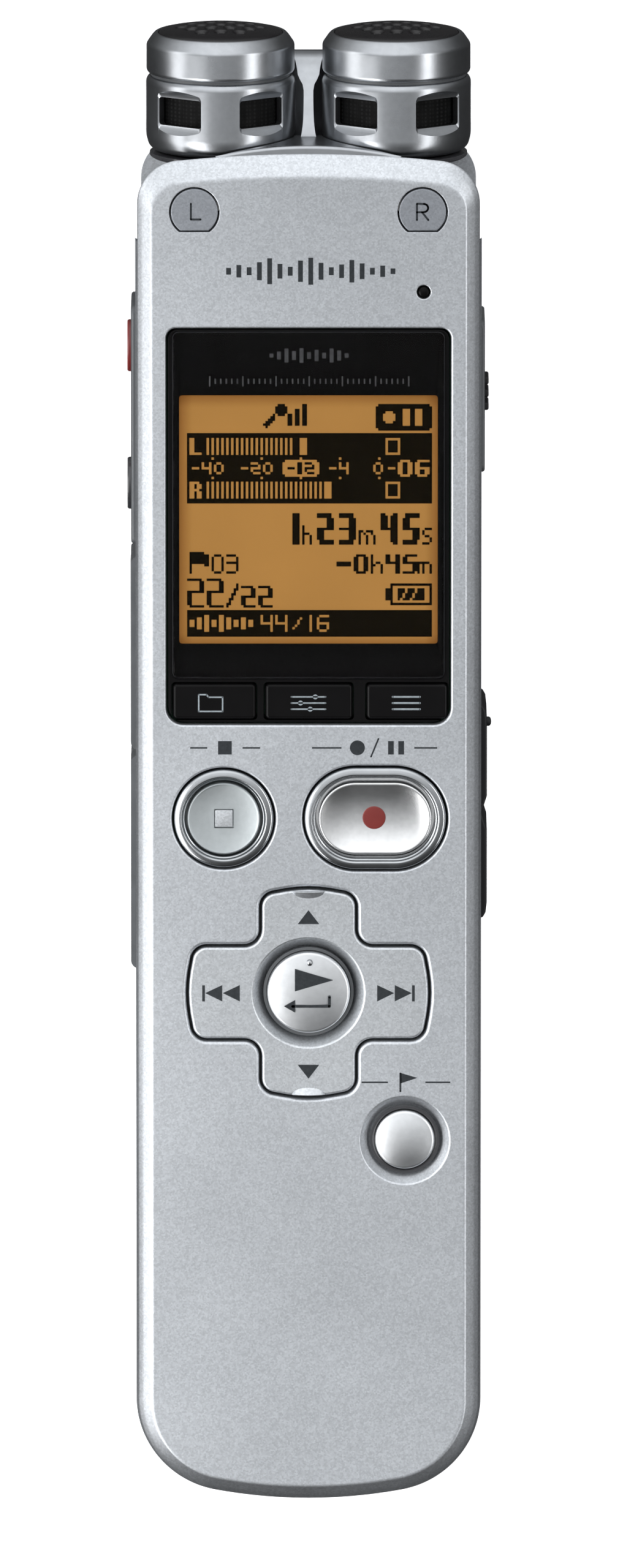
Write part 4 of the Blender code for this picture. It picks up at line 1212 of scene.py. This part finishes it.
def make_rocker():
    low, high = span("volume_rocker", 1)
    waist = middle("rocker_pin", 1, 0)[0]
    pivot = (13.0, waist)
    skin = [(14.35, low + 0.1), (15.35, low), (15.62, low + 0.5), (15.72, low + 1.4), (15.72, waist - 1.6)]
    skin += [(15.5, waist - 0.9), (15.25, waist - 0.1), (15.5, waist + 0.7), (15.72, waist + 1.4)]
    skin += [(15.72, high - 1.4), (15.62, high - 0.5), (15.35, high), (14.35, high - 0.1)]
    skin += [(14.35, waist + 1.6)] + arc(pivot, 1.6, 90, 270, 16) + [(14.35, waist - 1.6)]
    rocker = build("volume_key", prism(skin, *SIDE_Z))
    modify(rocker, prism(circle(pivot, 0.8, 32), 2, 14))
    soften(set_sharp(rocker, 25.0), 0.16)
    place(rocker, BLACK_MATTE, "black_matte", "volume_rocker", "volume_rocker")
    dot = ((0.42, 15.5), (0.42, 15.9), (0.36, 16.03), (0.2, 16.1), (0, 16.12))
    place(build("volume_dot", turned(dot, (3.3, 8.0), "X", 24)), BLACK_MATTE, "black_matte", "volume_rocker")


# ---------------------------------------------------------------- back

REAR_EDGE = eased(((2.2, 0.0), (1.3, 0.2), (0.55, 0.75), (0.12, 1.5), (0.0, 2.4), (0.0, 3.6)), 0.5)
REAR_IN = 0.2
DOOR_X, DOOR_Y, DOOR_Z = (span("battery_door", axis)[1] for axis in (0, 1, 2))
DOOR_GAP = 0.25
WALL, FLOOR = 1.4, 1.2
SPEAKER_AT = (0.0, 30.0)
SCREWS_AT = [middle(f"case_screw_{number}") for number in (1, 2, 3, 4)]


def rear_form(steps):
    """A solid whose every step draws the rear outline in and gives its height."""
    return loft([along(cover_outline(REAR_IN + drawn), z) for drawn, z in steps])


def rear_shell(name):
    """The whole back as a tub, which the rear cover and the battery door are cut from."""
    shell = build(name, rear_form([*REAR_EDGE, (0.0, REAR_TOP_Z)]), 40.0)
    modify(shell, rear_form(((WALL + 0.9, FLOOR), (WALL, FLOOR + 0.9), (WALL, REAR_TOP_Z + 1))))
    return shell


def side_window(side, *nodes):
    low = min(span(node, 1)[0] for node in nodes) - DOOR_GAP
    high = max(span(node, 1)[1] for node in nodes) + DOOR_GAP
    z = (SIDE_Z[0] - DOOR_GAP, SIDE_Z[1] + DOOR_GAP)
    return block(sorted((side * 12.0, side * 16.5)), (low, high), z)


def make_rear_cover():
    cover = rear_shell("rear_shell")
    for part in head_room(FLOOR + 0.1, REAR_TOP_Z + 1):
        modify(cover, part)
    cutters = side_window(-1, "jack_panel") + side_window(-1, "usb_door", "card_door")
    cutters += side_window(1, "hold_switch_plate") + side_window(1, "volume_rocker")
    modify(cover, cutters)
    door_x = DOOR_X + DOOR_GAP
    modify(cover, block((-door_x, door_x), (-70, DOOR_Y + DOOR_GAP), (-1, DOOR_Z + DOOR_GAP)))
    for at in SCREWS_AT:
        modify(cover, prism(circle(at, 2.4, 40), 0.6, 5.2), "UNION")
    holes = []
    for at in SCREWS_AT:
        holes += turned(((2.1, -1), (2.1, 0.05), (1.9, 0.25), (1.9, 1.4), (1.1, 1.4), (1.1, 6)), at, "Z", 40)
    for at in [SPEAKER_AT, *circle(SPEAKER_AT, 2.0, 6)]:
        holes += turned(((0.62, -1), (0.62, 0.02), (0.5, 0.14), (0.5, 2.2)), at, "Z", 24)
    modify(cover, holes)
    place(even_normals(set_sharp(cover, 40.0)), SILVER, "silver_paint", "recorder", "rear_cover")
    profile = ((1.2, 0.18), (1.5, 0.24), (1.6, 0.4), (1.6, 1.1), (0.8, 1.1), (0.8, 4.8))
    for number, at in enumerate(SCREWS_AT, 1):
        screw = build(f"screw_{number}", turned(profile, at, "Z", 48))
        for width, height in ((1.9, 0.32), (0.32, 1.9)):
            modify(screw, bar(at, width, height, (-1, 0.75)))
        place(set_sharp(screw), STEEL, "steel", "recorder", f"case_screw_{number}")


def make_battery_door():
    door = rear_shell("door_panel")
    modify(door, block((-DOOR_X, DOOR_X), (-70, DOOR_Y), (-1, DOOR_Z)), "INTERSECT")
    # Grip grooves that get shorter towards the way the door slides
    grooves = []
    for i in range(6):
        y = DOOR_Y - 4.0 - i * 1.1
        half = 4.6 - 0.35 * i
        grooves += turned(((0.45, -half), (0.45, half)), (y, -0.2), "X", 24)
    modify(door, grooves)
    set_sharp(door, 40.0)
    place(soften(door, 0.1, 2), SILVER, "silver_paint", "battery_door", "battery_door")


# ---------------------------------------------------------------- the CAD nodes that stay


def finish_cad_nodes():
    for part in frame["record"]["subparts"]:
        node = frame["nodes"][part["node"]]
        for slot in node.material_slots:
            slot.material = FINISHES[part["material_slot"]]


# ---------------------------------------------------------------- floor, light and camera

TILT = math.radians(11)
# The point that lights and camera face, and the camera's distance from it, in metres
AIM = Vector((0.09, -2.35, 8.0)) * MM
DISTANCE = 2.308


def make_floor():
    """A pale table. No surface mirrors it, so the edges stay dark, as beside dark cards on a light table."""
    half = 1500
    table = build("table", block((-half, half), (-half, half), (-4.0, -0.1)))
    f = Finish("table_top")
    f.tint((1.0, 1.0, 1.0), 0.78, 0.82, 12.0, 3.0)
    f.rough(0.75, 0.85, 40.0)
    f.feed("Emission Color", f.ramp(f.noise(12.0), 0.96, 1.0))
    table.data.materials.append(f.set(Emission_Strength=0.7, Specular_IOR_Level=0.1))
    table.visible_glossy = False


def add_light(name, direction, size, strength, away=0.6, shift=0.0):
    """A soft box that faces the object from a direction and is moved along Y by a shift."""
    light = bpy.data.lights.new(name, "AREA")
    light.shape = "RECTANGLE"
    light.size, light.size_y = size
    light.energy = strength
    made = bpy.data.objects.new(name, light)
    aim = Vector(direction).normalized()
    made.location = AIM + aim * away + Vector((0, shift, 0))
    made.rotation_euler = aim.to_track_quat("Z", "Y").to_euler()
    made.visible_camera = False
    bpy.context.scene.collection.objects.link(made)


# Brightness of the sky, from the side away from its glow to the middle of the glow
SKY_STEPS = ((0, 0.015), (0.5, 0.045), (0.66, 0.2), (0.77, 0.38), (0.87, 0.65), (0.95, 0.95), (1, 1))
SKY_STRENGTH = 1.75
GLOW_TOWARDS = (-0.12, 0.8, 0.59)


def make_surroundings():
    """A soft, slightly blue sky that glows beyond the microphones and is dark on the opposite side."""
    world = bpy.data.worlds.new("studio")
    world.use_nodes = True
    tree = world.node_tree
    towards = tree.nodes.new("ShaderNodeVectorMath")
    towards.operation = "DOT_PRODUCT"
    towards.inputs[1].default_value = GLOW_TOWARDS
    share = tree.nodes.new("ShaderNodeMapRange")
    share.inputs["From Min"].default_value = -1.0
    ramp = tree.nodes.new("ShaderNodeValToRGB")
    elements = ramp.color_ramp.elements
    for position, _ in SKY_STEPS[1:-1]:
        elements.new(position)
    for element, (position, grey) in zip(elements, SKY_STEPS):
        element.color = (grey * 0.97, grey * 0.985, grey, 1.0)
    background = tree.nodes["Background"]
    background.inputs["Strength"].default_value = SKY_STRENGTH
    tree.links.new(tree.nodes.new("ShaderNodeTexCoord").outputs["Generated"], towards.inputs[0])
    tree.links.new(towards.outputs["Value"], share.inputs["Value"])
    tree.links.new(share.outputs["Result"], ramp.inputs["Fac"])
    tree.links.new(ramp.outputs["Color"], background.inputs["Color"])
    bpy.context.scene.world = world


def make_light():
    # The near panel is small and close, so the face is brighter at the lower left than at the upper right
    add_light("near_panel", (-0.64, 0.0, 0.76), (0.17, 0.06), 0.17, 0.13, -0.055)
    add_light("left_box", (-0.93, -0.08, 0.34), (0.9, 0.24), 1.8)
    add_light("right_box", (0.77, -0.05, 0.64), (0.7, 0.15), 1.3)


def make_camera():
    data = bpy.data.cameras.new("camera")
    data.lens = 600
    data.sensor_width = 36
    data.clip_start = 0.01
    data.clip_end = 10
    camera = bpy.data.objects.new("camera", data)
    camera.rotation_euler = (-TILT, 0, 0)
    camera.location = AIM + Vector((0, math.sin(TILT), math.cos(TILT))) * DISTANCE
    bpy.context.scene.collection.objects.link(camera)
    bpy.context.scene.camera = camera
    bpy.context.scene.view_settings.view_transform = "Standard"


def main():
    make_front_cover()
    make_display()
    make_display_keys()
    make_display_dots()
    make_window_marks()
    make_stop_button()
    make_record_button()
    make_cross_key()
    make_play_and_mark()
    make_lamps()
    make_face_marks()
    make_key_marks()
    make_cross_marks()
    make_lamp_letters()
    for side, word in SIDES:
        make_head(side, word)
    make_saddle()
    make_jacks()
    make_doors()
    make_hold_switch()
    make_rocker()
    make_rear_cover()
    make_battery_door()
    finish_cad_nodes()
    make_floor()
    make_surroundings()
    make_light()
    make_camera()


main()
